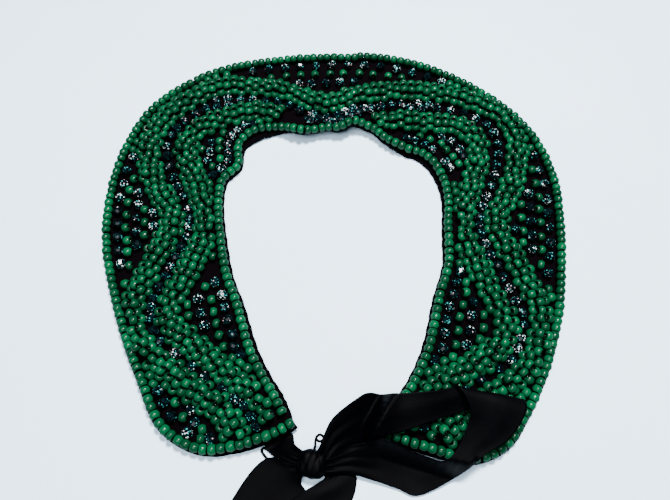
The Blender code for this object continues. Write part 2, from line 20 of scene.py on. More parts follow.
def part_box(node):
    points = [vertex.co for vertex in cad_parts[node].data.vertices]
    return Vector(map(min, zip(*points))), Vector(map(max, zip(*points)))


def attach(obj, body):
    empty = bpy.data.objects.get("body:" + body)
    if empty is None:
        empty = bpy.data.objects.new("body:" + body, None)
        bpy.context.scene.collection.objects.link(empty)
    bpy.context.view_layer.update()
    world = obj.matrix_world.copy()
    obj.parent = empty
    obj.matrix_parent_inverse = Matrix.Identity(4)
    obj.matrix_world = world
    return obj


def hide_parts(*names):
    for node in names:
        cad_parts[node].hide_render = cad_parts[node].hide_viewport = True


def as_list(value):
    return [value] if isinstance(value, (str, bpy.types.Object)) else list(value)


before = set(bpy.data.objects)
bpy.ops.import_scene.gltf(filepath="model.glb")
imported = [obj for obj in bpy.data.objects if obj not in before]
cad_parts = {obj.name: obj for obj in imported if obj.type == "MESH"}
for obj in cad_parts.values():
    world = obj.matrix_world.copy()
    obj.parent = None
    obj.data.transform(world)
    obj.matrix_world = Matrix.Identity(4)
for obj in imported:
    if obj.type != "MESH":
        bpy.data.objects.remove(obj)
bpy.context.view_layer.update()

LOG = logging.getLogger("necklace")
BODY = "root"
MILLIMETRE = 0.001

# Outline of the collar, from the left end to the right end.
# neck_x and neck_y are shares of the neck's width and depth, rib is the direction in
# degrees from the neck string to the rim string, band is a share of the band's width.
STATIONS = (
    # neck_x, neck_y, rib, band
    (-0.118, -1.0, 184.1, 0.925), (-0.188, -0.924, 180.4, 0.975), (-0.259, -0.831, 179.6, 0.975),
    (-0.332, -0.731, 178.6, 0.98), (-0.405, -0.596, 176.4, 1.005), (-0.472, -0.45, 175.8, 1.0),
    (-0.5, -0.3, 174.8, 0.985), (-0.485, -0.187, 168.5, 0.995), (-0.423, -0.08, 153.5, 1.0),
    (-0.3, -0.012, 134.5, 0.945), (-0.154, -0.004, 111.5, 0.905), (0.022, 0.0, 90.0, 0.885),
    (0.192, -0.012, 69.5, 0.915), (0.334, -0.076, 48.5, 0.985), (0.445, -0.157, 27.5, 1.03),
    (0.498, -0.253, 10.5, 1.005), (0.5, -0.38, 2.0, 0.97), (0.475, -0.501, -4.0, 0.955),
    (0.427, -0.614, -8.4, 0.965), (0.378, -0.723, -9.3, 0.945), (0.309, -0.829, -9.4, 0.927),
    (0.224, -0.924, -9.9, 0.918), (0.163, -0.996, -10.5, 0.9),
)
NAPE_STATION = 11

# Middle of each bead wave. place is a share of the way from the nape to an end,
# across a share of the band's width.
OUTER_WAVE = (
    # place, across
    (-1.0, 0.57), (-0.93, 0.54), (-0.87, 0.33), (-0.81, 0.12), (-0.74, 0.12), (-0.645, 0.38),
    (-0.545, 0.61), (-0.455, 0.36), (-0.375, 0.19), (-0.265, 0.2), (-0.21, 0.25), (-0.15, 0.4),
    (-0.022, 0.7), (0.095, 0.49), (0.195, 0.28), (0.275, 0.13), (0.34, 0.12), (0.435, 0.36),
    (0.535, 0.6), (0.63, 0.38), (0.72, 0.14), (0.815, 0.14), (0.91, 0.43), (1.0, 0.58),
)
LEFT_INNER_WAVE = (
    # place, across
    (-1.0, 0.9), (-0.92, 0.87), (-0.83, 0.6), (-0.775, 0.42), (-0.73, 0.41), (-0.66, 0.65),
    (-0.55, 0.89), (-0.45, 0.74), (-0.36, 0.51), (-0.26, 0.61), (-0.17, 0.77), (-0.06, 1.15),
)
RIGHT_INNER_WAVE = (
    # place, across
    (0.03, 1.15), (0.125, 0.85), (0.2, 0.7), (0.305, 0.45), (0.4, 0.66), (0.48, 0.84),
    (0.56, 0.88), (0.66, 0.66), (0.735, 0.41), (0.785, 0.4), (0.845, 0.62), (0.92, 0.86),
    (1.0, 0.85),
)

# Puckers of the neck edge. place and reach are shares of the way from the nape to an
# end, inward and lift shares of the band's width, inward towards the opening.
PUCKERS = (
    # place, reach, inward, lift
    (-0.25, 0.06, 0.02, 0.02), (-0.125, 0.06, -0.015, 0.035), (-0.07, 0.05, 0.03, 0.0),
    (0.0, 0.3, 0.0, 0.045), (0.035, 0.055, -0.03, 0.04), (0.11, 0.05, 0.03, 0.0),
    (0.195, 0.04, 0.01, 0.02),
)

# The ribbon's pieces, from the knot outwards. Each row is a line across the ribbon from
# one selvedge to the other. Plan places are shares of the ribbon's width from the middle
# of the knot, heights are shares of it above what the ribbon lies on.
LOOP = (
    # first_x, first_y, first_height, second_x, second_y, second_height
    (0.0, 0.06, 0.22, 0.06, -0.06, 0.16), (0.1, 0.2, 0.29, 0.22, 0.02, 0.2),
    (0.29, 0.59, 0.44, 0.44, 0.17, 0.14), (0.66, 0.88, 0.52, 0.85, 0.281, 0.085),
    (0.88, 0.99, 0.42, 1.09, 0.363, 0.065), (1.27, 0.95, 0.21, 1.34, 0.425, 0.05),
    (1.79, 0.98, 0.225, 2.02, 0.65, 0.05), (2.01, 1.02, 0.205, 2.47, 0.76, 0.05),
    (2.1, 1.05, 0.215, 2.88, 0.82, 0.06), (2.15, 1.03, 0.29, 3.12, 0.87, 0.14),
    (2.23, 0.91, 0.3, 3.15, 0.73, 0.185), (2.31, 0.7, 0.25, 3.02, 0.5, 0.175),
    (2.27, 0.51, 0.175, 2.8, 0.27, 0.135), (2.12, 0.22, 0.11, 2.48, 0.09, 0.1),
    (1.93, 0.02, 0.11, 2.08, -0.2, 0.11), (1.74, 0.05, 0.1, 1.56, -0.43, 0.045),
    (1.4, 0.17, 0.09, 1.26, -0.34, 0.055), (1.05, 0.31, 0.16, 0.95, -0.24, 0.085),
    (0.62, 0.25, 0.31, 0.54, -0.13, 0.12), (0.25, 0.11, 0.205, 0.215, -0.13, 0.165),
    (0.05, 0.05, 0.18, 0.03, -0.08, 0.15),
)
LEFT_TAIL = (
    # first_x, first_y, first_height, second_x, second_y, second_height
    (-0.08, 0.03, 0.11, 0.0, -0.13, 0.1), (-0.25, 0.06, 0.12, -0.125, -0.175, 0.1),
    (-0.46, 0.075, 0.1, -0.16, -0.225, 0.07), (-0.69, 0.09, 0.05, -0.15, -0.29, 0.05),
    (-0.92, -0.1, 0.03, -0.095, -0.39, 0.03), (-1.17, -0.48, 0.025, -0.23, -0.58, 0.025),
    (-1.37, -0.88, 0.025, -0.42, -1.03, 0.025),
)
RIGHT_TAIL = (
    # first_x, first_y, first_height, second_x, second_y, second_height
    (0.06, -0.09, 0.11, 0.14, -0.04, 0.1), (0.19, -0.175, 0.075, 0.41, -0.105, 0.06),
    (0.072, -0.265, 0.085, 0.634, -0.145, 0.035), (-0.101, -0.361, 0.11, 0.646, -0.324, 0.025),
    (-0.273, -0.48, 0.11, 0.556, -0.56, 0.025), (-0.5, -0.72, 0.11, 0.33, -0.96, 0.025),
)
LEFT_TIE = (
    # first_x, first_y, first_height, second_x, second_y, second_height
    (-0.59, 0.13, 0.07, -0.27, 0.29, 0.085), (-0.33, 0.03, 0.15, -0.16, 0.19, 0.17),
    (-0.08, -0.03, 0.15, -0.02, 0.11, 0.16),
)
RIGHT_TIE = (
    # first_x, first_y, first_height, second_x, second_y, second_height
    (0.64, 0.01, 0.035, 0.5, 0.29, 0.045), (0.24, -0.06, 0.09, 0.235, 0.09, 0.095),
    (0.06, -0.05, 0.09, 0.06, 0.06, 0.095),
)

# Crystal fields, in millimetres: the first column's distance from the field's edge string,
# the pitch between columns, and the pitches along a column of green beads and along one
# of crystals.
FIELDS = (
    # node, first, column, green pitch, crystal pitch
    ("left_end_rim_field", 4.8, 3.8, 5.9, 5.9),
    ("left_rim_field", 4.8, 3.8, 5.9, 6.3), ("nape_rim_field", 5.3, 5.8, 6.1, 6.3),
    ("right_rim_field", 4.8, 3.8, 5.9, 6.3),
    ("right_end_rim_field", 4.8, 3.8, 5.9, 5.9),
    ("left_front_neck_field", 4.7, 4.6, 5.6, 6.0),
    ("left_back_neck_field", 4.7, 4.4, 5.6, 5.6),
    ("right_back_neck_field", 4.7, 4.4, 5.6, 5.6),
    ("right_front_neck_field", 4.7, 4.6, 5.6, 6.0),
)

# Share of a wave's rows that hold four beads instead of three. place is a share of the
# way from the nape to an end.
FULL_ROWS = (
    # place, share
    (-1.0, 0.6), (-0.75, 0.7), (-0.5, 0.6), (-0.3, 0.8), (0.0, 0.7), (0.3, 0.6), (0.45, 0.35),
    (0.8, 0.35), (1.0, 0.5),
)

# How far the sewn neck string wanders from its even line. place is a share of the way
# from the nape to an end, drift is in millimetres towards the opening.
NECK_DRIFT = (
    # place, drift
    (-1.0, 0.0), (-0.92, 0.3), (-0.84, -0.6), (-0.72, 0.8), (-0.66, 0.2), (-0.58, 0.9),
    (-0.45, -0.2), (-0.42, 0.9), (-0.395, 3.2), (-0.375, 3.8), (-0.346, 1.1), (-0.31, -2.4),
    (-0.257, -3.6), (-0.21, -1.6), (-0.165, 0.0), (-0.14, 2.2), (-0.111, 3.6), (-0.08, 1.2),
    (-0.05, 0.6), (0.009, 2.3), (0.03, 1.0), (0.05, -0.5), (0.09, -1.7), (0.12, -1.0),
    (0.145, 1.6), (0.18, 2.1), (0.22, 1.0), (0.246, 0.3), (0.282, -2.0), (0.33, -2.3),
    (0.38, -1.4), (0.43, -0.5), (0.52, 1.1), (0.58, 0.9), (0.62, 0.1), (0.7, 0.7), (0.77, 0.0),
    (0.84, -0.6), (1.0, 0.0),
)

# How far the felt shows beyond the neck string. place is a share of the way from the
# nape to an end, margin is in millimetres beyond the beads.
NECK_MARGIN = (
    # place, margin
    (-1.0, 0.2), (-0.97, 0.9), (-0.9, 1.3), (-0.85, 1.2), (-0.72, 0.7), (-0.6, 0.4),
    (-0.45, -0.2), (-0.38, -0.8), (-0.34, 0.6), (-0.27, 1.9), (-0.22, 1.0), (-0.16, -1.2),
    (-0.1, -2.6), (-0.03, -2.8), (0.03, -1.4), (0.1, -1.4), (0.16, -1.0), (0.22, 0.2),
    (0.3, 1.1), (0.38, 0.8), (0.5, 0.2), (0.65, 0.2), (0.8, 0.4), (1.0, 0.6),
)

# The loose threads, in millimetres: plan places from the middle of the knot, and heights
# over the floor.
THREAD_BY_TIE = (
    # x, y, z
    (-12.9, 2.3, 0.5), (-15.1, 4.0, 0.5), (-17.0, 5.4, 0.5), (-18.1, 5.6, 0.5),
    (-18.6, 4.8, 0.5), (-17.6, 3.3, 0.5), (-16.1, 1.8, 0.5), (-14.3, 0.6, 0.5),
)
THREAD_AT_KNOT = (
    # x, y, z
    (-0.3, 2.0, 6.4), (0.5, 3.9, 7.6), (1.1, 5.5, 8.4), (1.2, 7.2, 8.6), (1.7, 8.7, 8.8),
    (2.9, 9.3, 8.9), (4.0, 8.5, 8.8), (3.7, 7.4, 8.6), (2.5, 7.1, 8.3), (1.7, 7.7, 7.8),
)


class Kind(Enum):
    """What is threaded or sewn at a place."""

    BEAD = "bead"
    CRYSTAL = "crystal"


class Wave(Enum):
    """The bead waves, by their nodes."""

    OUTER = "outer_wave"
    LEFT = "left_inner_wave"
    RIGHT = "right_inner_wave"


class Strip(Enum):
    """The strips beside the waves, from rim to neck."""

    RIM_FIELD = "rim_field"
    LINE = "line"
    NECK_FIELD = "neck_field"


class Gather(Enum):
    """Which ends of a ribbon are drawn together."""

    START = "start"
    FINISH = "finish"
    BOTH = "both"


def linear(colour: str) -> tuple[float, float, float, float]:
    """Turn an sRGB hex colour into linear red, green, blue and alpha.

    Args:
        colour: Six hex digits after a hash sign.

    Returns:
        The linear colour, fully opaque.
    """
    values = [int(colour[k:k + 2], 16) / 255.0 for k in (1, 3, 5)]
    lit = [v / 12.92 if v <= 0.04045 else ((v + 0.055) / 1.055) ** 2.4 for v in values]
    return (*lit, 1.0)


def fill_inputs(node: bpy.types.Node, inputs: dict) -> None:
    """Set or link a node's inputs.

    Args:
        node: The node.
        inputs: Input names or numbers, and a value or an output socket for each.
    """
    for name, value in inputs.items():
        if isinstance(value, bpy.types.NodeSocket):
            node.id_data.links.new(value, node.inputs[name])
        else:
            node.inputs[name].default_value = value


def add_node(tree: bpy.types.NodeTree, kind: str, settings: Optional[dict] = None,
             inputs: Optional[dict] = None) -> bpy.types.Node:
    """Add a node, set its properties, and set or link its inputs.

    Args:
        tree: The node tree that the node joins.
        kind: The node's type name.
        settings: Property names and their values.
        inputs: Input names or numbers, and a value or an output socket for each.

    Returns:
        The new node.
    """
    node = tree.nodes.new(kind)
    for name, value in (settings or {}).items():
        setattr(node, name, value)
    fill_inputs(node, inputs or {})
    return node


def start_material(name: str) -> tuple[bpy.types.Material, bpy.types.NodeTree, bpy.types.Node]:
    """Make a node material, and return it with its tree and its Principled shader."""
    material = bpy.data.materials.new(name)
    material.use_nodes = True
    return material, material.node_tree, material.node_tree.nodes["Principled BSDF"]


def set_ramp(node: bpy.types.Node, stops: Sequence[tuple[float, str]]) -> None:
    """Give a colour ramp its stops.

    Args:
        node: The Color Ramp node.
        stops: Positions and hex colours, from low to high.
    """
    ramp = node.color_ramp
    while len(ramp.elements) < len(stops):
        ramp.elements.new(0.5)
    for element, (position, colour) in zip(ramp.elements, stops):
        element.position = position
        element.color = linear(colour)


def mottle(tree: bpy.types.NodeTree, where: Optional[bpy.types.NodeSocket], noise: dict,
           stops: Sequence[tuple[float, str]]) -> tuple[bpy.types.Node, bpy.types.Node]:
    """Vary a colour by noise.

    Args:
        tree: The material's node tree.
        where: Coordinates that the noise reads, or None for the object's own.
        noise: The noise's other inputs.
        stops: Positions and hex colours along it, from low to high.

    Returns:
        The noise and its colour ramp.
    """
    if where is None:
        where = add_node(tree, "ShaderNodeTexCoord").outputs["Object"]
    cloud = add_node(tree, "ShaderNodeTexNoise", inputs={"Vector": where, **noise})
    ramp = add_node(tree, "ShaderNodeValToRGB", inputs={"Fac": cloud.outputs["Fac"]})
    set_ramp(ramp, stops)
    return cloud, ramp


def per_metre(size_mm: float) -> float:
    """Turn the real size of a pattern's unit into a texture's scale."""
    return 1.0 / (size_mm * MILLIMETRE)


@dataclass(frozen=True)
class SeedBeadGlass:
    """Opaque green soda-lime seed beads, drawn, cut and tumbled.

    A thin clear lustre of metal oxide gives a small highlight. The colour differs a little
    from bead to bead, and painted shade darkens it in and around the hole.
    """

    name: str = "opaque green seed bead glass"
    deep: str = "#002A16"
    body: str = "#01331C"
    light: str = "#014326"
    # Painted shade, for the glass in and around the hole.
    hole: str = "#000A05"
    ior: float = 1.52
    roughness: float = 0.35
    lustre: float = 0.10
    lustre_ior: float = 2.0
    lustre_roughness: float = 0.21
    ripple_mm: float = 0.9
    ripple_depth_mm: float = 0.15

    def make(self) -> bpy.types.Material:
        """Build the material."""
        material, tree, shader = start_material(self.name)
        tone = add_node(tree, "ShaderNodeAttribute", {"attribute_name": "tone"})
        ramp = add_node(tree, "ShaderNodeValToRGB", inputs={"Fac": tone.outputs["Fac"]})
        set_ramp(ramp, ((0.0, self.deep), (0.5, self.body), (1.0, self.light)))
        # Painted shade: darken the glass in and around the hole.
        ends = add_node(tree, "ShaderNodeAttribute", {"attribute_name": "painted_hole_shade"})
        shade = add_node(tree, "ShaderNodeMix", {"data_type": "RGBA"},
                         {"Factor": ends.outputs["Fac"], 6: ramp.outputs["Color"],
                          7: linear(self.hole)})
        place = add_node(tree, "ShaderNodeTexCoord")
        ripple = add_node(tree, "ShaderNodeTexNoise",
                          inputs={"Vector": place.outputs["Object"], "Detail": 1.0,
                                  "Scale": per_metre(self.ripple_mm)})
        bump = add_node(tree, "ShaderNodeBump",
                        inputs={"Height": ripple.outputs["Fac"], "Strength": 0.5,
                                "Distance": self.ripple_depth_mm * MILLIMETRE})
        fill_inputs(shader, {
            "Base Color": shade.outputs[2], "Normal": bump.outputs["Normal"],
            "Coat Normal": bump.outputs["Normal"], "Roughness": self.roughness,
            "IOR": self.ior, "Specular IOR Level": 0.0, "Coat Weight": self.lustre,
            "Coat Roughness": self.lustre_roughness, "Coat IOR": self.lustre_ior})
        return material


@dataclass(frozen=True)
class CoatedCrystal:
    """Machine-cut dark glass rondelles with a thin metal-oxide coating.

    The glass itself looks nearly black. The white, cyan and pink points that small facets
    send back from inside are painted highlights in the base colour, on small cells, more on
    some crystals than on others. They are drawn about twice their real size so that they show.
    """

    name: str = "coated dark cut glass"
    dark: str = "#010304"
    teal: str = "#031619"
    # Painted highlights: the colours of the glints.
    cyan_glint: str = "#2F8F8C"
    white_glint: str = "#D5EAE6"
    pink_glint: str = "#C9A9B0"
    # Size of the cells that carry the painted glints.
    facet_mm: float = 0.42
    glint_from: float = 0.88
    white_from: float = 0.932
    pink_from: float = 0.86
    ior: float = 1.56
    roughness: float = 0.07
    coating: float = 0.03
    coating_ior: float = 1.6

    def make(self) -> bpy.types.Material:
        """Build the material."""
        material, tree, shader = start_material(self.name)
        place = add_node(tree, "ShaderNodeTexCoord")
        cells = add_node(tree, "ShaderNodeTexVoronoi",
                         inputs={"Vector": place.outputs["Object"],
                                 "Scale": per_metre(self.facet_mm)})
        parts = add_node(tree, "ShaderNodeSeparateColor",
                         inputs={"Color": cells.outputs["Color"]})
        tone = add_node(tree, "ShaderNodeAttribute", {"attribute_name": "tone"})
        share = add_node(tree, "ShaderNodeMath", {"operation": "MULTIPLY"},
                         {0: tone.outputs["Fac"], 1: 0.1})
        light = add_node(tree, "ShaderNodeMath", {"operation": "MULTIPLY_ADD"},
                         {0: parts.outputs["Red"], 1: 0.9, 2: share.outputs["Value"]})
        # The cells are dark or teal glass. Painted highlights turn the brightest ones into cyan
        # and white glints.
        ramp = add_node(tree, "ShaderNodeValToRGB", inputs={"Fac": light.outputs["Value"]})
        ramp.color_ramp.interpolation = "CONSTANT"
        set_ramp(ramp, ((0.0, self.dark), (0.42, self.teal), (0.66, self.dark),
                        (self.glint_from, self.cyan_glint), (self.white_from, self.white_glint)))
        # Painted highlights: some of the glints turn pink.
        pink_glint_mask = add_node(tree, "ShaderNodeMath", {"operation": "GREATER_THAN"},
                        {0: parts.outputs["Green"], 1: self.pink_from})
        glint = add_node(tree, "ShaderNodeMath", {"operation": "GREATER_THAN"},
                         {0: light.outputs["Value"], 1: self.glint_from})
        both = add_node(tree, "ShaderNodeMath", {"operation": "MULTIPLY"},
                        {0: pink_glint_mask.outputs["Value"], 1: glint.outputs["Value"]})
        colour = add_node(tree, "ShaderNodeMix", {"data_type": "RGBA"},
                          {"Factor": both.outputs["Value"], 6: ramp.outputs["Color"],
                           7: linear(self.pink_glint)})
        fill_inputs(shader, {
            "Base Color": colour.outputs[2], "Roughness": self.roughness, "IOR": self.ior,
            "Specular IOR Level": 0.08, "Coat Weight": self.coating,
            "Coat Roughness": 0.03, "Coat IOR": self.coating_ior})
        return material


@dataclass(frozen=True)
class WoolFelt:
    """Pressed wool felt, black with a trace of plum.

    Matted fibres scatter light without a highlight, and lighter fibres lie on top.
    """

    name: str = "pressed wool felt"
    dark: str = "#010001"
    light: str = "#050304"
    fuzz: str = "#6A4A60"
    fibre_mm: float = 0.5
    fibre_depth_mm: float = 0.35
    roughness: float = 0.96

    def make(self) -> bpy.types.Material:
        """Build the material."""
        material, tree, shader = start_material(self.name)
        fibres, ramp = mottle(
            tree, None, {"Scale": per_metre(self.fibre_mm), "Detail": 5.0, "Roughness": 0.7,
                         "Distortion": 1.2}, ((0.35, self.dark), (0.75, self.light)))
        bump = add_node(tree, "ShaderNodeBump",
                        inputs={"Height": fibres.outputs["Fac"], "Strength": 0.8,
                                "Distance": self.fibre_depth_mm * MILLIMETRE})
        fill_inputs(shader, {
            "Base Color": ramp.outputs["Color"], "Normal": bump.outputs["Normal"],
            "Roughness": self.roughness, "Specular IOR Level": 0.02, "Sheen Weight": 0.012,
            "Sheen Roughness": 0.6, "Sheen Tint": linear(self.fuzz)})
        return material


@dataclass(frozen=True)
class SatinRibbon:
    """Black polyester satin ribbon, woven with long floats.

    The floats run along the ribbon and give it a soft sheen across them. The ribs are
    drawn coarser than the real thread so that they show.
    """

    name: str = "black polyester satin ribbon"
    dark: str = "#000001"
    light: str = "#010102"
    shine: str = "#8088A0"
    rib_mm: float = 0.35
    rib_depth_mm: float = 0.06
    ribs_to_scale: float = 1.6
    roughness: float = 0.5

    def make(self) -> bpy.types.Material:
        """Build the material."""
        material, tree, shader = start_material(self.name)
        weave = add_node(tree, "ShaderNodeUVMap", {"uv_map": "weave"}).outputs["UV"]
        scale = per_metre(self.rib_mm) / math.tau * self.ribs_to_scale
        ribs = add_node(tree, "ShaderNodeTexWave",
                        {"wave_type": "BANDS", "bands_direction": "Y"},
                        {"Vector": weave, "Scale": scale, "Distortion": 0.6, "Detail": 2.0})
        _, ramp = mottle(tree, weave, {"Scale": 220.0, "Detail": 3.0},
                         ((0.3, self.dark), (0.8, self.light)))
        bump = add_node(tree, "ShaderNodeBump",
                        inputs={"Height": ribs.outputs["Fac"], "Strength": 0.35,
                                "Distance": self.rib_depth_mm * MILLIMETRE})
        fill_inputs(shader, {
            "Base Color": ramp.outputs["Color"], "Normal": bump.outputs["Normal"],
            "Roughness": self.roughness, "Specular IOR Level": 0.016,
            "Sheen Weight": 0.002, "Sheen Roughness": 0.35,
            "Sheen Tint": linear(self.shine)})
        return material


@dataclass(frozen=True)
class PolyesterThread:
    """Black polyester sewing thread, twisted from three plies."""

    name: str = "black twisted sewing thread"
    dark: str = "#000001"
    light: str = "#040405"
    ply_mm: float = 0.6
    roughness: float = 0.6

    def make(self) -> bpy.types.Material:
        """Build the material."""
        material, tree, shader = start_material(self.name)
        _, ramp = mottle(tree, None, {"Scale": per_metre(self.ply_mm), "Detail": 2.0},
                         ((0.3, self.dark), (0.8, self.light)))
        fill_inputs(shader, {"Base Color": ramp.outputs["Color"],
                             "Roughness": self.roughness, "Specular IOR Level": 0.03})
        return material


@dataclass(frozen=True)
class PaleFloor:
    """Matt painted board with a trace of blue."""

    name: str = "pale painted board"
    colour: str = "#D0E9FA"
    shadow: str = "#C9E4F6"
    roughness: float = 0.8

    def make(self) -> bpy.types.Material:
        """Build the material."""
        material, tree, shader = start_material(self.name)
        _, ramp = mottle(tree, None, {"Scale": 9.0}, ((0.3, self.shadow), (0.7, self.colour)))
        fill_inputs(shader, {"Base Color": ramp.outputs["Color"],
                             "Roughness": self.roughness})
        return material


def clamp(value: float, high: float = 1.0) -> float:
    """Hold a value between 0 and a highest one."""
    return min(max(value, 0.0), high)


def ease(value: float) -> float:
    """Return a smooth step from 0 to 1 for a value between them."""
    value = clamp(value)
    return value * value * (3.0 - 2.0 * value)


def look_up(rows: np.ndarray, at: float) -> float:
    """Read a table's second column where its first one passes a value."""
    return float(np.interp(at, rows[:, 0], rows[:, 1]))


def smooth_rows(rows: Sequence[Sequence[float]], steps: int) -> np.ndarray:
    """Run a smooth curve through rows of numbers.

    Args:
        rows: The rows to pass through.
        steps: New rows in each span.

    Returns:
        The denser rows, the given ones among them.
    """
    given = np.array(rows, float)
    knots = np.vstack([2 * given[0] - given[1], given, 2 * given[-1] - given[-2]])
    result = []
    for index in range(len(given) - 1):
        a, b, c, d = knots[index:index + 4]
        for step in range(steps):
            f = step / steps
            square = (2 * a - 5 * b + 4 * c - d) * f * f
            cube = (3 * b - a - 3 * c + d) * f ** 3
            result.append(0.5 * (2 * b + (c - a) * f + square + cube))
    result.append(given[-1])
    return np.array(result)


def spaced(line: np.ndarray, step: float) -> np.ndarray:
    """Set points along a line at an even distance.

    Args:
        line: The line's points.
        step: Distance wanted between the new points.

    Returns:
        The new points, the line's two ends among them.
    """
    run = np.concatenate([[0.0], np.cumsum(np.linalg.norm(np.diff(line, axis=0), axis=1))])
    count = max(int(round(run[-1] / step)), 1) + 1
    at = np.linspace(0.0, run[-1], count)
    return np.stack([np.interp(at, run, line[:, k]) for k in range(line.shape[1])], 1)


def directions(line: np.ndarray) -> np.ndarray:
    """Return unit directions along a line of points."""
    ways = np.gradient(line, axis=0)
    return ways / np.linalg.norm(ways, axis=1, keepdims=True)


@dataclass
class CollarForm:
    """The surface that felt and beads follow, with the borders of the beadwork.

    s is the distance along the band's middle line from the nape, below 0 on the left.
    across is a share of the band's width, 0 on the rim string and 1 on the neck string.
    """

    neck_width: float = 0.0996
    neck_depth: float = 0.1388
    band_width: float = 0.048
    corner_radius: float = 0.013
    left_slant: float = 0.0088
    right_slant: float = 0.0036
    slant_start: float = 0.85
    slant_length: float = 0.15
    felt: float = 0.002
    bead: float = 0.004
    wave_width: float = 0.0106
    line_least: float = 0.0028
    field_least: float = 0.002
    ribbon: float = 0.001
    ribbon_width: float = 0.024
    gap: float = 0.0003
    # Where the felt rises over the tucked ties: shares along a half and across the band.
    tuck_start: float = 0.84
    tuck_length: float = 0.11
    tuck_edge: float = 0.40
    tuck_width: float = 0.30
    past_neck: float = 1.1
    knot_aside: float = -0.245
    knot_below: float = -0.345
    step_x: float = 0.0113
    step_out: float = 0.0013
    step_fade: float = 0.02
    shift: np.ndarray = field(default_factory=lambda: np.zeros(2))

    def __post_init__(self) -> None:
        """Work out the band's edges, its middle line and the waves."""
        steps = 40
        fine = smooth_rows(STATIONS, steps)
        angle = np.radians(fine[:, 2])
        self.widths = fine[:, 3] * self.band_width
        self.neck = fine[:, :2] * (self.neck_width, self.neck_depth)
        ribs = np.stack([np.cos(angle), np.sin(angle)], 1)
        self.rim = self.neck + ribs * self.widths[:, None]
        middle = 0.5 * (self.neck + self.rim)
        lengths = np.linalg.norm(np.diff(middle, axis=0), axis=1)
        run = np.concatenate([[0.0], np.cumsum(lengths)])
        self.run = run - run[NAPE_STATION * steps]
        self.left = -self.run[0]
        self.right = self.run[-1]
        self.ways = directions(middle)
        self.rim_square, self.neck_square, self.square = (
            self.squareness(line, ribs) for line in (self.rim, self.neck, middle))
        self.lean = -np.sum(self.ways * ribs, axis=1)
        self.drifts = smooth_rows(NECK_DRIFT, 6)
        self.waves = {Wave.OUTER: smooth_rows(OUTER_WAVE, 12),
                      Wave.LEFT: smooth_rows(LEFT_INNER_WAVE, 12),
                      Wave.RIGHT: smooth_rows(RIGHT_INNER_WAVE, 12)}

    @property
    def bead_base(self) -> float:
        """Height of the beads' underside over the felt's."""
        return self.felt + self.gap

    @property
    def string_height(self) -> float:
        """Height of the strings' middle over the felt's underside."""
        return self.bead_base + self.bead / 2

    @staticmethod
    def squareness(line: np.ndarray, ribs: np.ndarray) -> np.ndarray:
        """Return the sine of the angle between a line and the ribs that cross it."""
        ways = directions(line)
        return np.abs(ways[:, 0] * ribs[:, 1] - ways[:, 1] * ribs[:, 0])

    def at(self, s: float, values: np.ndarray) -> float:
        """Read one of the band's rows of values at s."""
        return float(np.interp(s, self.run, values))

    def along_end(self, s: float, inset: float) -> float:
        """Return the distance along the middle line that leaves an inset at an end."""
        return inset / float(self.square[-1] if s > 0 else self.square[0])

    def end(self, s: float) -> float:
        """Return the length of the half that s lies in."""
        return self.right if s > 0 else self.left

    def place(self, s: float) -> float:
        """Return the share of the way from the nape to an end, below 0 on the left."""
        return s / self.end(s)

    def width(self, s: float) -> float:
        """Return the distance between the two edge strings at s."""
        return self.at(s, self.widths)

    def slant(self, s: float, across: float) -> float:
        """Return how far the end line draws the surface back towards the nape."""
        share = clamp(across, self.past_neck)
        reach = ease((abs(self.place(s)) - self.slant_start) / self.slant_length)
        if s > 0:
            return -self.right_slant * share ** 2 * reach
        return self.left_slant * share ** 3 * reach

    def pucker(self, s: float, column: int) -> float:
        """Sum one column of the puckers at s.

        Args:
            s: Place along the middle line.
            column: 2 for the inward reach, 3 for the lift.

        Returns:
            The sum in metres, at the neck edge.
        """
        total = 0.0
        for row in PUCKERS:
            away = abs(self.place(s) - row[0]) / row[1]
            if away < 1.0:
                total += row[column] * 0.5 * (1.0 + math.cos(math.pi * away))
        return total * self.band_width

    def lift(self, s: float, across: float) -> float:
        """Return the height of the felt's underside over the floor."""
        share = clamp(across, self.past_neck)
        along = (abs(self.place(s)) - self.tuck_start) / self.tuck_length
        aside = clamp((share - self.tuck_edge) / self.tuck_width)
        tucked = (self.ribbon + 2 * self.gap) * ease(along) * aside
        return self.pucker(s, 3) * share + tucked

    def plan(self, s: float, across: float) -> np.ndarray:
        """Return the plan place of a point of the surface."""
        drawn = s + self.slant(s, across)
        inside = min(max(drawn, self.run[0]), self.run[-1])
        neck, rim = (np.array([np.interp(inside, self.run, line[:, k]) for k in (0, 1)])
                     for line in (self.neck, self.rim))
        rib = neck - rim
        shift = self.pucker(s, 2) * clamp(across) ** 2 / np.linalg.norm(rib)
        beyond = drawn - inside
        way = self.ways[-1 if beyond > 0 else 0]
        return rim + rib * (across + shift) + way * beyond + self.shift

    def rimward(self, s: float, across: float) -> np.ndarray:
        """Return a plan step that leads from the neck string towards the rim string."""
        probe = 0.05
        return self.plan(s, across - probe) - self.plan(s, across + probe)

    def point(self, s: float, across: float, height: float) -> np.ndarray:
        """Return a point at a height above the felt's underside."""
        return np.array([*self.plan(s, across), self.lift(s, across) + height])

    def rim_border(self, s: float, inset: float) -> float:
        """Return the share of a line inset from the rim string, round the corners."""
        radius = self.corner_radius - self.along_end(s, inset)
        past = abs(s) - (self.end(s) - self.corner_radius)
        depth = inset / self.at(s, self.rim_square)
        if past > 0:
            turn = math.sqrt(max(1.0 - (past / radius) ** 2, 0.0))
            depth = self.corner_radius - (self.corner_radius - depth) * turn
        return depth / self.width(s)

    def neck_border(self, s: float, inset: float) -> float:
        """Return the share of a line inset from the neck string."""
        drift = look_up(self.drifts, self.place(s)) * MILLIMETRE
        return 1.0 - (inset - drift) / self.at(s, self.neck_square) / self.width(s)

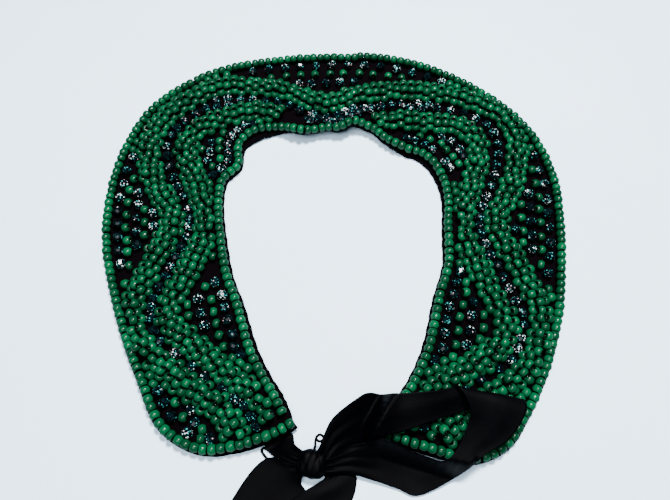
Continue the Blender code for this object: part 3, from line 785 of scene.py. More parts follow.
    def wave(self, kind: Wave, s: float) -> tuple[float, float]:
        """Find a wave at s.

        Args:
            kind: Which wave.
            s: Place along the middle line.

        Returns:
            The share across of the wave's middle, and half its width as a share.
        """
        probe = MILLIMETRE
        low, here, high = (look_up(self.waves[kind], self.place(at))
                           for at in (s - probe, s, s + probe))
        slope = (high - low) * self.width(s) / (2 * probe)
        lean = self.at(s, self.lean)
        steep = math.sqrt(1.0 + slope ** 2 + 2.0 * slope * lean) / self.at(s, self.square)
        return here, 0.5 * self.wave_width * steep / self.width(s)

    def closed(self, s: float, space: float) -> float:
        """Return a field's width as a share, closed up where it gets too narrow."""
        least = self.field_least / self.width(s)
        return max(min(space, 2.0 * (space - least)), 0.0)

    def borders(self, s: float) -> dict[Strip, tuple[float, float]]:
        """Return the shares across at which each strip beside the waves starts and stops."""
        rim = self.rim_border(s, self.bead / 2 + self.gap)
        neck = self.neck_border(s, self.bead / 2 + self.gap)
        gap = self.gap / self.width(s)
        middle, half = self.wave(Wave.OUTER, s)
        outer_low = rim + self.closed(s, middle - half - rim)
        outer_high = middle + half
        middle, half = self.wave(Wave.RIGHT if s > 0 else Wave.LEFT, s)
        line = self.line_least / self.width(s)
        inner_low = min(max(middle - half, outer_high + line + 2 * gap), neck + gap)
        inner_high = max(neck - self.closed(s, neck - middle - half), inner_low)
        return {Strip.RIM_FIELD: (rim, outer_low - gap),
                Strip.LINE: (outer_high + gap, min(inner_low - gap, neck)),
                Strip.NECK_FIELD: (inner_high + gap, neck)}

    def knot_place(self) -> np.ndarray:
        """Return the plan place of the knot."""
        left = self.plan(-self.left, 1.0)
        right = self.plan(self.right, 1.0)
        apart = float(np.linalg.norm(right - left))
        return 0.5 * (left + right) + np.array([self.knot_aside, self.knot_below]) * apart

    def seat_in_frame(self) -> None:
        """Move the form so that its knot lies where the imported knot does."""
        low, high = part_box("knot")
        self.shift = np.array([(low.x + high.x) / 2, (low.y + high.y) / 2]) - self.knot_place()

    def rim_line(self) -> np.ndarray:
        """Return the rim string's middle line, from one neck corner to the other."""
        height = self.string_height

        def corner(sign: int, reach: float) -> list[np.ndarray]:
            """Return the line round one outer corner and along that end."""
            points = []
            for turn in np.linspace(0.1, 0.5 * math.pi, 12):
                s = sign * (reach - self.corner_radius * (1.0 - math.sin(turn)))
                points.append(self.point(s, self.rim_border(s, 0.0), height))
            for share in np.linspace(0.34, self.neck_border(sign * reach, -self.bead / 2), 14):
                points.append(self.point(sign * reach, share, height))
            return points

        low = -self.left + self.corner_radius
        high = self.right - self.corner_radius
        along = [self.point(s, 0.0, height) for s in np.linspace(low, high, 240)]
        line = np.array(corner(-1, self.left)[::-1] + along + corner(1, self.right))
        for point in line:
            past = point[0] - self.step_x
            if point[1] > 0 and past > 0:
                point[1] += self.step_out * math.exp(-past / self.step_fade)
        return line

    def neck_line(self) -> np.ndarray:
        """Return the neck string's middle line, between the two end strings."""
        inset = self.bead + self.gap
        low = -self.left + self.along_end(-1, inset)
        high = self.right - self.along_end(1, inset)
        return np.array([self.point(s, self.neck_border(s, 0.0), self.string_height)
                         for s in np.linspace(low, high, 260)])


def clear_selection() -> None:
    """Leave object mode's selection empty."""
    if bpy.context.object is not None and bpy.context.object.mode != "OBJECT":
        bpy.ops.object.mode_set(mode="OBJECT")
    bpy.ops.object.select_all(action="DESELECT")


def make_active(item: bpy.types.Object) -> None:
    """Select one object alone and make it the active one."""
    clear_selection()
    item.select_set(True)
    bpy.context.view_layer.objects.active = item


def resize(x: float, y: float, z: float) -> None:
    """Scale what is selected about the origin."""
    bpy.ops.transform.resize(value=(x, y, z), center_override=(0.0, 0.0, 0.0))


def face_outwards(item: bpy.types.Object) -> None:
    """Turn all of a mesh's faces the same way, outwards where it is closed."""
    make_active(item)
    bpy.ops.object.mode_set(mode="EDIT")
    bpy.ops.mesh.select_all(action="SELECT")
    bpy.ops.mesh.normals_make_consistent(inside=False)
    bpy.ops.object.mode_set(mode="OBJECT")


def thicken(item: bpy.types.Object, thickness: float, offset: float,
            bevel: Optional[float] = None) -> None:
    """Give a sheet its thickness and soft edges.

    Args:
        item: The sheet, one face thick.
        thickness: How thick it gets.
        offset: -1 for all of it below the sheet, 0 for half on either side.
        bevel: Width of its rounded edges, if it has them.
    """
    wall = item.modifiers.new("wall", "SOLIDIFY")
    wall.thickness = thickness
    wall.offset = offset
    if bevel is not None:
        edge = item.modifiers.new("edge", "BEVEL")
        edge.width = bevel
        edge.segments = 2
        edge.limit_method = "ANGLE"
        edge.angle_limit = math.radians(50)
    make_active(item)
    for modifier in list(item.modifiers):
        bpy.ops.object.modifier_apply(modifier=modifier.name)
    bpy.ops.object.shade_smooth()


def dress(item: bpy.types.Object, material: bpy.types.Material,
          nodes: Sequence[str] = ()) -> None:
    """Finish a piece: its material, its body and the solids it stands for.

    Args:
        item: The piece, in place, with its object at the origin.
        material: What the piece is made of.
        nodes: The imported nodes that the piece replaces.
    """
    item.data.materials.clear()
    item.data.materials.append(material)
    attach(item, BODY)
    if nodes:
        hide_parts(*nodes)
    LOG.info("%s: %d faces", item.name, len(item.data.polygons))


def lay_grid(name: str, columns: int, rows: int,
             place: Callable[[float, float], Sequence[float]],
             flat: tuple[float, float]) -> bpy.types.Object:
    """Lay a grid on a surface.

    Args:
        name: The new object's name.
        columns: Faces along the sheet.
        rows: Faces across the sheet.
        place: Gives a point for shares along and across the sheet.
        flat: The cut's length and width, which scale its weave map.

    Returns:
        The sheet, one face thick.
    """
    clear_selection()
    bpy.ops.mesh.primitive_grid_add(x_subdivisions=columns, y_subdivisions=rows, size=2.0)
    item = bpy.context.object
    item.name = name
    weave = item.data.uv_layers[0]
    weave.name = "weave"
    for corner in weave.data:
        corner.uv = (corner.uv[0] * flat[0], corner.uv[1] * flat[1])
    for vertex in item.data.vertices:
        along, across = 0.5 * (vertex.co.x + 1.0), 0.5 * (vertex.co.y + 1.0)
        vertex.co = place(along, across)
    item.data.update()
    return item


@dataclass
class Seat:
    """Where one bead or crystal sits.

    axis is the direction of its hole, girth and length scale the model bead.
    """

    place: Vector
    axis: Vector
    radius: float
    girth: float = 1.0
    length: float = 1.0
    spin: float = 0.0
    tone: float = 0.5
    fixed: bool = False

    def matrix(self) -> Matrix:
        """Return the transform that puts the model bead on this seat."""
        turn = self.axis.to_track_quat("Z", "Y").to_matrix().to_4x4()
        size = Matrix.Diagonal((self.girth, self.girth, self.length, 1.0))
        return Matrix.Translation(self.place) @ turn @ Matrix.Rotation(self.spin, 4, "Z") @ size


def pick_beyond(item: bpy.types.Object, height: float) -> None:
    """Select the points of a model that lie beyond a height on either side of its middle.

    Args:
        item: The model, active and in object mode. It is left in edit mode.
        height: The least distance from the middle plane.
    """
    bpy.ops.object.mode_set(mode="EDIT")
    bpy.ops.mesh.select_all(action="DESELECT")
    bpy.ops.object.mode_set(mode="OBJECT")
    for vertex in item.data.vertices:
        vertex.select = abs(vertex.co.z) > height
    bpy.ops.object.mode_set(mode="EDIT")


@dataclass
class SeedBead:
    """The model seed bead: a rounded ring, its hole along Z."""

    diameter: float = 0.0039
    hole: float = 0.0011
    length: float = 0.0034
    around: int = 12
    section: int = 7
    # Share of the wall, from the hole outwards, whose points get painted shade.
    hole_shade_reach: float = 0.3
    # Shares of half the length, and how much narrower the bead is beyond each.
    rounding: tuple[tuple[float, float], ...] = ((0.30, 0.91), (0.80, 0.89))

    def build(self) -> bpy.types.Object:
        """Model one bead from a ring, stretched along its hole and rounded at its ends.

        Returns:
            The model bead at the origin.
        """
        clear_selection()
        ring = (self.diameter + self.hole) / 4
        wall = (self.diameter - self.hole) / 4
        half = self.length / 2
        bpy.ops.mesh.primitive_torus_add(major_segments=self.around, minor_segments=self.section,
                                         major_radius=ring, minor_radius=wall)
        item = bpy.context.object
        item.name = "model_seed_bead"
        bpy.ops.object.mode_set(mode="EDIT")
        bpy.ops.mesh.select_all(action="SELECT")
        resize(1.0, 1.0, half / wall)
        bpy.ops.object.mode_set(mode="OBJECT")
        for share, size in self.rounding:
            pick_beyond(item, share * half)
            resize(size, size, 1.0)
            bpy.ops.object.mode_set(mode="OBJECT")
        bpy.ops.object.shade_smooth()
        # Mark the points in and around the hole, where the glass gets painted shade.
        hole_shade = item.data.attributes.new("painted_hole_shade", "FLOAT", "POINT")
        inner = ring - self.hole_shade_reach * wall
        for vertex, value in zip(item.data.vertices, hole_shade.data):
            value.value = 1.0 if math.hypot(vertex.co.x, vertex.co.y) < inner else 0.0
        item.data.attributes.new("tone", "FLOAT", "POINT")
        return item


@dataclass
class Rondelle:
    """The model crystal: a faceted rondelle, its hole along Z."""

    diameter: float = 0.0043
    length: float = 0.0034
    facets: int = 9
    rings: int = 6
    end_share: float = 0.84
    pole_share: float = 0.95
    outer_share: float = 0.6

    def build(self) -> bpy.types.Object:
        """Model one crystal: a ball with flat ends, its outer rings turned half a facet.

        Returns:
            The model crystal at the origin.
        """
        clear_selection()
        radius = self.diameter / 2
        flat = self.end_share * radius
        bpy.ops.mesh.primitive_uv_sphere_add(segments=self.facets, ring_count=self.rings,
                                             radius=radius)
        item = bpy.context.object
        item.name = "model_crystal"
        pick_beyond(item, self.pole_share * radius)
        resize(1.0, 1.0, flat / radius)
        bpy.ops.object.mode_set(mode="OBJECT")
        pick_beyond(item, self.outer_share * radius)
        bpy.ops.transform.rotate(value=math.pi / self.facets, orient_axis="Z",
                                 center_override=(0.0, 0.0, 0.0))
        bpy.ops.mesh.select_all(action="SELECT")
        resize(1.0, 1.0, self.length / (2 * flat))
        bpy.ops.mesh.quads_convert_to_tris(quad_method="BEAUTY")
        bpy.ops.object.mode_set(mode="OBJECT")
        bpy.ops.object.shade_flat()
        item.data.attributes.new("tone", "FLOAT", "POINT")
        return item


def strew(name: str, model: bpy.types.Object, seats: Sequence[Seat]) -> bpy.types.Object:
    """Copy a model bead to each seat and join the copies.

    Args:
        name: The joined piece's name.
        model: The bead or crystal to copy.
        seats: Where the copies go.

    Returns:
        One mesh object at the origin.
    """
    clear_selection()
    copies = []
    for seat in seats:
        copy = model.copy()
        copy.data = model.data.copy()
        copy.data.transform(seat.matrix())
        tone = copy.data.attributes["tone"]
        tone.data.foreach_set("value", [seat.tone] * len(tone.data))
        bpy.context.scene.collection.objects.link(copy)
        copy.select_set(True)
        copies.append(copy)
    bpy.context.view_layer.objects.active = copies[0]
    bpy.ops.object.join()
    item = bpy.context.object
    item.name = item.data.name = name
    return item


@dataclass
class Beadwork:
    """Every bead and crystal of the collar. Sizes are in metres, slopes in degrees.

    A spread is the most that a value may differ from its middle, either way.
    """

    form: CollarForm
    seed: int = 11
    bead_radius: float = 0.00185
    crystal_radius: float = 0.0019
    string_step: float = 0.00325
    string_girth: float = 1.02
    string_length: float = 0.96
    string_tilt: float = 0.10
    string_spread: float = 0.00012
    wave_girth: float = 0.99
    wave_length: float = 0.94
    wave_tilt: float = 0.22
    girth_spread: float = 0.055
    length_spread: float = 0.12
    row_pitch: float = 0.0035
    row_stagger: float = 0.0003
    bead_step: float = 0.00276
    four_slopes: tuple[float, float] = (24.0, 58.0)
    four_crest: float = 0.0039
    three_slope: float = 38.0
    three_crest: float = 0.0031
    three_slack: float = 0.0001
    place_spread: float = 0.0004
    height_spread: float = 0.0002
    line_clear: float = 0.0004
    clear_string: float = 0.0031
    dot_height: float = 0.0019
    dot_tilt: float = 0.3
    crystal_height: float = 0.0018
    line_pitch: float = 0.0049
    line_width: float = 0.0044
    line_narrowest: float = 0.0018
    line_inset: float = 0.0055
    line_clear_neck: float = 0.0036
    field_margin: float = 0.0012
    field_spread: float = 0.010
    field_columns: int = 6
    missing: float = 0.02
    filled_below: float = 0.0016
    filler_step: float = 0.0029
    end_inset: float = 0.0030
    left_inner_end: float = -0.155
    right_inner_start: float = 0.115
    settle_rounds: int = 24
    settle_reach: float = 0.0045
    settle_rise: float = 0.3
    settle_hold: float = 0.16

    def __post_init__(self) -> None:
        """Start the draws and the lists of seats."""
        self.draw = random.Random(self.seed)
        self.seats: dict[str, list[Seat]] = {}
        self.rim = self.form.rim_line()
        self.neck = self.form.neck_line()

    def jitter(self, most: float) -> float:
        """Return a random number between minus and plus a bound."""
        return self.draw.uniform(-most, most)

    def shake(self, most: float) -> Vector:
        """Return a vector of three random numbers between minus and plus a bound."""
        return Vector((self.jitter(most), self.jitter(most), self.jitter(most)))

    def bead(self, place: np.ndarray, axis: Vector, tilt: float, fixed: bool = False) -> Seat:
        """Make a seat for a seed bead of a slightly random size.

        Args:
            place: The bead's middle.
            axis: The direction of its hole.
            tilt: Most that each part of the direction is changed by.
            fixed: Whether it is on a string, where its neighbours can't push it.

        Returns:
            The seat.
        """
        way = axis.normalized() + self.shake(tilt)
        girth, length = ((self.string_girth, self.string_length) if fixed
                         else (self.wave_girth, self.wave_length))
        girth += self.jitter(self.girth_spread)
        length += self.jitter(self.length_spread)
        return Seat(Vector(place), way.normalized(), self.bead_radius * girth, girth, length,
                    self.draw.uniform(0.0, math.tau), self.draw.random(), fixed)

    def crystal(self, point: np.ndarray) -> Seat:
        """Make a seat for a crystal that lies as it fell, with its middle at a point."""
        angle = self.draw.uniform(0.0, math.tau)
        axis = Vector((math.cos(angle), math.sin(angle), self.jitter(0.5))).normalized()
        girth = 1.0 + self.jitter(0.08)
        return Seat(Vector(point), axis, self.crystal_radius * girth, girth,
                    1.0 + self.jitter(0.1), self.draw.uniform(0.0, math.tau),
                    self.draw.random())

    def arch(self, full: float) -> list[tuple[float, float, float]]:
        """Lay three or four beads on an arched thread.

        Args:
            full: The chance that there are four.

        Returns:
            For each bead, its distance from the middle of the row, its height over the
            felt and its slope, from one side to the other.
        """
        half = self.bead_step / 2
        if self.draw.random() < full:
            inner, outer = (math.radians(slope) for slope in self.four_slopes)
            near = half * math.cos(inner)
            far = 2 * near + half * math.cos(outer)
            foot = self.four_crest - half * (math.sin(inner) + math.sin(outer))
            middle = []
            right = [(near, self.four_crest, -math.tan(inner)), (far, foot, -math.tan(outer))]
        else:
            outer = math.radians(self.three_slope)
            far = half * (1.0 + math.cos(outer)) + self.three_slack
            foot = self.three_crest - half * math.sin(outer)
            middle = [(0.0, self.three_crest, 0.0)]
            right = [(far, foot, -math.tan(outer))]
        left = [(-away, height, -slope) for away, height, slope in reversed(right)]
        return left + middle + right

    def string(self, name: str, line: np.ndarray) -> None:
        """Thread beads on a line, each touching the next.

        Args:
            name: The string's name.
            line: The thread's points.
        """
        fine = spaced(line, 0.2 * MILLIMETRE)
        step = float(np.linalg.norm(fine[1] - fine[0]))
        last = len(fine) - 1
        self.seats[name] = seats = []
        at = 0.5 * self.string_step
        while (index := int(round(at / step))) < last - 1:
            way = Vector(fine[min(index + 4, last)] - fine[max(index - 4, 0)])
            seat = self.bead(fine[index], way, self.string_tilt, fixed=True)
            seat.place += self.shake(self.string_spread)
            seats.append(seat)
            at += self.string_step * (1.0 + 0.5 * (seat.length - 0.95))
            at += self.jitter(self.string_spread)

    @staticmethod
    def distance(point: np.ndarray, line: np.ndarray) -> float:
        """Return the plan distance from a point to a line's points."""
        return float(np.min(np.linalg.norm(line[:, :2] - point[:2], axis=1)))

    def wave(self, kind: Wave, low: float, high: float) -> None:
        """Sew short arched rows of beads across a wave.

        Args:
            kind: Which wave.
            low: Where it starts along the band.
            high: Where it stops.
        """
        form = self.form
        clear, strip = ((self.line_clear, Strip.RIM_FIELD) if kind is Wave.OUTER
                        else (-self.line_clear, Strip.NECK_FIELD))
        track = []
        for s in np.linspace(low, high, 900):
            middle, _ = form.wave(kind, s)
            track.append([*form.plan(s, middle), s, middle])
        track = np.array(track)
        rows = spaced(track[:, :2], self.row_pitch)
        self.seats[kind.value] = seats = []
        for number, (row, way) in enumerate(zip(rows, directions(rows))):
            s, middle = track[np.argmin(np.linalg.norm(track[:, :2] - row, axis=1))][2:]
            width = form.width(s)
            side = np.array([-way[1], way[0]])
            if side @ form.rimward(s, middle) < 0:
                side = -side
            stagger = self.row_stagger if number % 2 else -self.row_stagger
            slide = self.jitter(self.row_stagger) + stagger + clear
            beads = self.arch(look_up(np.array(FULL_ROWS), form.place(s)))
            start, stop = form.borders(s)[strip]
            if (stop - start) * width < self.filled_below:
                reach = beads[-1][0] + self.filler_step
                beads.append((math.copysign(reach, clear), self.dot_height, 0.0))
            for away, rise, slope in beads:
                off = away + slide
                place = row + side * off + way * self.jitter(self.place_spread)
                across = middle - off / width
                if across > 1.0 - self.clear_string / width:
                    continue
                height = form.lift(s, across) + form.bead_base + rise
                point = np.array([*place, height + self.jitter(self.height_spread)])
                if min(self.distance(point, self.rim),
                       self.distance(point, self.neck)) >= self.clear_string:
                    seats.append(self.bead(point, Vector((*side, slope)), self.wave_tilt))

    def line(self) -> None:
        """Set the crystal line between the two waves."""
        form = self.form
        self.seats["crystal_line"] = seats = []
        s = -form.left + self.line_inset
        while s < form.right - self.line_inset:
            first, last = form.borders(s)[Strip.LINE]
            width = (last - first) * form.width(s)
            count = (max(int(round(width / self.line_width)), 1)
                     if width > self.line_narrowest else 0)
            for k in range(count):
                across = first + (last - first) * (k + 0.5) / count
                slide = 0.25 * self.line_pitch * (-1) ** k if count > 1 else 0.0
                point = form.point(s + slide + self.jitter(self.place_spread), across,
                                   form.bead_base + self.crystal_height)
                if self.distance(point, self.neck) > self.line_clear_neck:
                    seats.append(self.crystal(point))
            s += self.line_pitch

    def column(self, kind: Kind, strip: Strip, inset: float,
               run: Sequence[float]) -> list[Seat]:
        """Sew one column of a field.

        Args:
            kind: What is sewn.
            strip: The strip that the field is part of.
            inset: The column's distance from the string beside the strip.
            run: Places along the middle line.

        Returns:
            The seats of those that fit between the field's borders.
        """
        form = self.form
        border = form.rim_border if strip is Strip.RIM_FIELD else form.neck_border
        seats = []
        for s in run:
            start, stop = form.borders(s)[strip]
            across = border(s, inset)
            margin = self.field_margin / form.width(s)
            if not start + margin < across < stop - margin:
                continue
            at = s + self.jitter(self.place_spread)
            across += self.jitter(self.field_spread)
            if kind is Kind.BEAD:
                point = form.point(at, across, form.bead_base + self.dot_height)
                axis = Vector((*form.rimward(at, across), 0.0))
                seats.append(self.bead(point, axis, self.dot_tilt))
            elif self.draw.random() > self.missing:
                point = form.point(at, across, form.bead_base + self.crystal_height)
                seats.append(self.crystal(point))
        return seats

    def fields(self) -> None:
        """Fill the fields between waves and strings with crystals and green dots."""
        for name, first, column, green, clear in FIELDS:
            strip = Strip.RIM_FIELD if name.endswith("rim_field") else Strip.NECK_FIELD
            low, high = self.span(name, strip)
            seats = {Kind.CRYSTAL: [], Kind.BEAD: []}
            for k in range(self.field_columns):
                kind = Kind.BEAD if k % 2 else Kind.CRYSTAL
                pitch = (green if k % 2 else clear) * MILLIMETRE
                begin = low + (0.25 + 0.5 * (k // 2 % 2)) * pitch
                seats[kind] += self.column(kind, strip, (first + column * k) * MILLIMETRE,
                                           np.arange(begin, high, pitch))
            self.seats[name] = seats[Kind.CRYSTAL]
            self.seats[name + "_dots"] = seats[Kind.BEAD]

    def span(self, name: str, strip: Strip) -> tuple[float, float]:
        """Find where a field lies along the band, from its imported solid.

        Args:
            name: The field's node.
            strip: The strip that the field is part of.

        Returns:
            The lowest and the highest place along the middle line.
        """
        form = self.form
        points = np.array([vertex.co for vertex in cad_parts[name].data.vertices])[:, :2]
        run = np.linspace(-form.left, form.right, 500)
        across = 0.25 if strip is Strip.RIM_FIELD else 0.75
        tree = KDTree(len(run))
        for index, s in enumerate(run):
            tree.insert((*form.plan(s, across), 0.0), index)
        tree.balance()
        found = [run[tree.find((*point, 0.0))[1]] for point in points]
        return min(found), max(found)

    def settle(self) -> None:
        """Push beads that overlap apart in plan, a little at a time."""
        loose = [seat for group in self.seats.values() for seat in group]
        home = [seat.place.copy() for seat in loose]
        for _ in range(self.settle_rounds):
            tree = KDTree(len(loose))
            for index, seat in enumerate(loose):
                tree.insert(seat.place, index)
            tree.balance()
            moves = [Vector((0.0, 0.0, 0.0)) for _ in loose]
            for index, seat in enumerate(loose):
                if seat.fixed:
                    continue
                for place, other, apart in tree.find_range(seat.place, self.settle_reach):
                    want = seat.radius + loose[other].radius
                    if other != index and 1e-6 < apart < want:
                        away = seat.place - place
                        away.z *= self.settle_rise
                        share = 0.9 if loose[other].fixed else 0.45
                        moves[index] += away.normalized() * (want - apart) * share
                moves[index] += (home[index] - seat.place) * self.settle_hold
            for seat, move in zip(loose, moves):
                if not seat.fixed:
                    seat.place += move

    def build(self) -> None:
        """Seat all the beads, let them settle, and make and dress the pieces."""
        form = self.form
        self.string("rim_string", self.rim)
        self.string("neck_string", self.neck)
        low = -form.left + form.along_end(-1, self.end_inset)
        high = form.right - form.along_end(1, self.end_inset)
        self.wave(Wave.OUTER, low, high)
        self.wave(Wave.LEFT, low, self.left_inner_end * form.left)
        self.wave(Wave.RIGHT, self.right_inner_start * form.right, high)
        self.line()
        self.fields()
        self.settle()
        kinds = {"beads": (SeedBeadGlass().make(), SeedBead().build()),
                 "crystals": (CoatedCrystal().make(), Rondelle().build())}
        total = dict.fromkeys(kinds, 0)
        for name, seats in self.seats.items():
            if not seats:
                continue
            slot = "beads" if name.endswith(("string", "wave", "dots")) else "crystals"
            material, model = kinds[slot]
            piece = strew(f"{name}_{slot}", model, seats)
            total[slot] += len(seats)
            dress(piece, material, [] if name.endswith("dots") else [name])
        for _, model in kinds.values():
            bpy.data.objects.remove(model)
        LOG.info("%d seed beads and %d crystals", total["beads"], total["crystals"])


@dataclass
class FeltBacking:
    """The felt sheet that everything is sewn to."""

    form: CollarForm
    rim_margin: float = 0.0003
    edge_round: float = 0.0004
    # Height and waves per metre of the hand-cut edge's wobble, coarse and fine.
    wobble: tuple[float, float, float, float] = (0.00012, 900.0, 0.00005, 2100.0)
    columns: int = 420
    rows: int = 14
    crowding: float = 0.25
    flat: tuple[float, float] = (0.199, 0.190)
    area: float = 0.0212

    def build(self) -> None:
        """Lay the felt on the form, with a soft, slightly wavy cut edge."""
        form = self.form
        inset = form.bead / 2 + self.rim_margin
        margins = np.array(NECK_MARGIN)
        low = -form.left - form.along_end(-1, inset)
        high = form.right + form.along_end(1, inset)
        length = high - low
        coarse, coarse_waves, fine, fine_waves = self.wobble

        def place(along: float, across: float) -> tuple[float, float, float]:
            """Return the felt's top surface at shares along and across it."""
            spread = 0.5 - 0.5 * math.cos(math.pi * along)
            s = low + length * ((1.0 - self.crowding) * along + self.crowding * spread)
            wobble = coarse * math.sin(s * coarse_waves) + fine * math.sin(s * fine_waves + 1.0)
            beyond = look_up(margins, form.place(s)) * MILLIMETRE
            first = form.rim_border(s, -inset)
            last = form.neck_border(s, -form.bead / 2 - beyond + wobble)
            return tuple(form.point(s, first + (last - first) * across, form.felt))

        felt = lay_grid("felt_backing", self.columns, self.rows, place, (length, form.band_width))
        face_outwards(felt)
        if felt.data.polygons[0].normal.z < 0:
            felt.data.flip_normals()
        thicken(felt, form.felt, -1.0, self.edge_round)
        dress(felt, WoolFelt().make(), ["backing"])


@dataclass
class Support:
    """What the ribbon lies on: the floor, and the beaded collar above it."""

    form: CollarForm
    slope: float = 0.006
    rest: float = 0.0022
    crown: float = 0.0013

    def __post_init__(self) -> None:
        """Sample the collar's plan."""
        form = self.form
        self.top = form.bead_base + form.bead + self.crown + form.ribbon + 2 * form.gap
        self.samples = np.array([form.plan(s, max(across, form.rim_border(s, 0.0)))
                                 for s in np.linspace(-form.left, form.right, 180)
                                 for across in np.linspace(0.0, 1.0, 15)])

    def height(self, x: float, y: float) -> float:
        """Return the height of the support under a plan place."""
        away = float(np.min(np.linalg.norm(self.samples - (x, y), axis=1)))
        return self.top * ease(1.0 - (away - self.rest) / self.slope)


@dataclass
class RibbonPiece:
    """One stretch of the satin ribbon, laid on what is under it."""

    name: str
    node: str
    rows: Sequence[Sequence[float]]
    gather: Gather
    rests_on: list[str]
    flat: tuple[float, float]
    area: float
    over_collar: bool = False
    pleats: float = 3.0
    pleat_depth: float = 0.0007
    pleat_run: float = 0.45
    pleat_run_both: float = 0.18
    softness: float = 0.00025
    thickness: float = 0.0004
    floor_gap: float = 0.0001
    columns: int = 90
    across: int = 28

    def gathered(self, along: float) -> float:
        """Return how deep the pleats are at a share along, from 0 to 1."""
        if self.gather is Gather.START:
            return 1.0 - ease(along / self.pleat_run)
        if self.gather is Gather.FINISH:
            return ease((along - (1.0 - self.pleat_run)) / self.pleat_run)
        return 1.0 - ease(min(along, 1.0 - along) / self.pleat_run_both)

    def build(self, form: CollarForm, table: Support, satin: bpy.types.Material,
              lead: Optional[np.ndarray]) -> None:
        """Lay the ribbon through its rows, with pleats where it is drawn together.

        Args:
            form: The collar's form.
            table: What the ribbon lies on.
            satin: The ribbon's material.
            lead: Rows in metres that come before the table's own, if it has them.
        """
        own = np.array(self.rows, float) * form.ribbon_width
        own[:, [0, 3]] += form.knot_place()[0]
        own[:, [1, 4]] += form.knot_place()[1]
        if lead is not None:
            own = np.vstack([lead, own])
        fine = smooth_rows(own, 12)
        run = np.linspace(0.0, 1.0, len(fine))

        def row(along: float) -> np.ndarray:
            """Return the two selvedge points at a share along."""
            return np.array([np.interp(along, run, fine[:, k]) for k in range(6)])

        def place(along: float, across: float) -> tuple[float, float, float]:
            """Return the ribbon's middle surface at shares along and across it."""
            first, second = row(along)[:3], row(along)[3:]
            point = first + (second - first) * across
            step = row(along + 0.01) - row(along - 0.01)
            way = step[:3] * (1 - across) + step[3:] * across
            normal = np.cross(way, second - first)
            size = np.linalg.norm(normal)
            normal = normal / size if size > 1e-12 else np.array([0.0, 0.0, 1.0])
            fold = math.cos(math.tau * self.pleats * across + 2.0 * along)
            soft = self.softness * math.sin(9.0 * along + 5.0 * across)
            soft *= math.sin(math.pi * across)
            point = point + normal * (fold * self.pleat_depth * self.gathered(along) + soft)
            if self.over_collar:
                point[2] += table.height(point[0], point[1])
            point[2] = max(point[2], 0.5 * self.thickness + self.floor_gap)
            return tuple(point)

        piece = lay_grid(self.name, self.columns, self.across, place, self.flat[::-1])
        thicken(piece, self.thickness, 0.0)
        dress(piece, satin, [self.node])
        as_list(self.rests_on)


@dataclass
class SatinKnot:
    """The knot: a squashed ball under bands of pleated ribbon."""

    form: CollarForm
    size: tuple[float, float, float] = (0.0112, 0.0102, 0.0078)
    weave: tuple[float, float] = (0.03, 0.012)
    segments: int = 96
    rings: int = 64
    ridges: float = 5.2
    ridge_power: float = 0.6
    ridge_height: float = 0.07
    band_width: float = 0.55
    band_height: float = 0.10
    core: float = 0.82

    def build(self, satin: bpy.types.Material) -> None:
        """Model the knot.

        Args:
            satin: The ribbon's material.
        """
        place = self.form.knot_place()
        half = [size / 2 for size in self.size]
        clear_selection()
        bpy.ops.mesh.primitive_uv_sphere_add(segments=self.segments, ring_count=self.rings,
                                             radius=1.0)
        item = bpy.context.object
        item.name = "satin_knot"
        item.data.uv_layers[0].name = "weave"
        for corner in item.data.uv_layers[0].data:
            corner.uv = (corner.uv[0] * self.weave[0], corner.uv[1] * self.weave[1])
        for vertex in item.data.vertices:
            x, y, z = vertex.co
            boxy = (abs(x) ** 3 + abs(y) ** 3 + abs(z) ** 3) ** (-1 / 3)
            x, y, z = x * boxy, y * boxy, z * boxy
            lean = x - 0.35 * y + 0.25 * z
            ridge = abs(math.sin(self.ridges * lean + 0.6)) ** self.ridge_power - 0.6
            band = 1.0 - min(abs(x + 0.25 * y) / self.band_width, 1.0) ** 4
            size = self.core + self.band_height * band + self.ridge_height * ridge
            vertex.co = (place[0] + x * half[0] * (0.96 + 0.05 * ridge),
                         place[1] + y * half[1] * (size + 0.06),
                         (1.0 + z * size * 1.06) * half[2])
        bpy.ops.object.shade_smooth()
        dress(item, satin, ["knot"])


@dataclass
class RibbonTie:
    """The ribbon: two ties, the loop, the two tails and the knot."""

    form: CollarForm
    tie_outer: float = 0.71
    tie_inner: float = 0.985
    tuck: float = 0.0045
    show: float = 0.0016

    def tie_lead(self, sign: int) -> np.ndarray:
        """Find the rows of a tie that lie tucked under the felt's end.

        Args:
            sign: -1 for the left end, 1 for the right one.

        Returns:
            Rows of two selvedge points, in metres.
        """
        form = self.form
        edge = form.end(sign) + form.along_end(sign, form.bead / 2 + form.gap)
        middle = (form.ribbon + form.gap) / 2
        return np.array([[*form.plan(sign * s, self.tie_outer), middle,
                          *form.plan(sign * s, self.tie_inner), middle]
                         for s in (edge - self.tuck, edge, edge + self.show)])

    def build(self) -> None:
        """Make the ribbon's pieces."""
        satin = SatinRibbon().make()
        table = Support(self.form)
        pieces = (
            RibbonPiece("left_tie_ribbon", "left_tie", LEFT_TIE, Gather.FINISH, ["satin_knot"],
                        (0.012, 0.017), 0.00016, pleats=2.0, columns=40),
            RibbonPiece("right_tie_ribbon", "right_tie", RIGHT_TIE, Gather.FINISH, ["satin_knot"],
                        (0.012, 0.030), 0.0003, pleats=2.0, columns=50),
            RibbonPiece("loop_ribbon", "ribbon_loop", LOOP, Gather.BOTH,
                        ["outer_wave_beads", "right_inner_wave_beads"], (0.024, 0.139), 0.0026,
                        over_collar=True, columns=260),
            RibbonPiece("left_tail_ribbon", "left_tail", LEFT_TAIL, Gather.START, ["satin_knot"],
                        (0.024, 0.030), 0.0006),
            RibbonPiece("right_tail_ribbon", "right_tail", RIGHT_TAIL, Gather.START,
                        ["left_tail_ribbon"], (0.024, 0.026), 0.0005),
        )
        leads = {"left_tie": self.tie_lead(-1), "right_tie": self.tie_lead(1)}
        for piece in pieces:
            piece.build(self.form, table, satin, leads.get(piece.node))
        SatinKnot(self.form).build(satin)


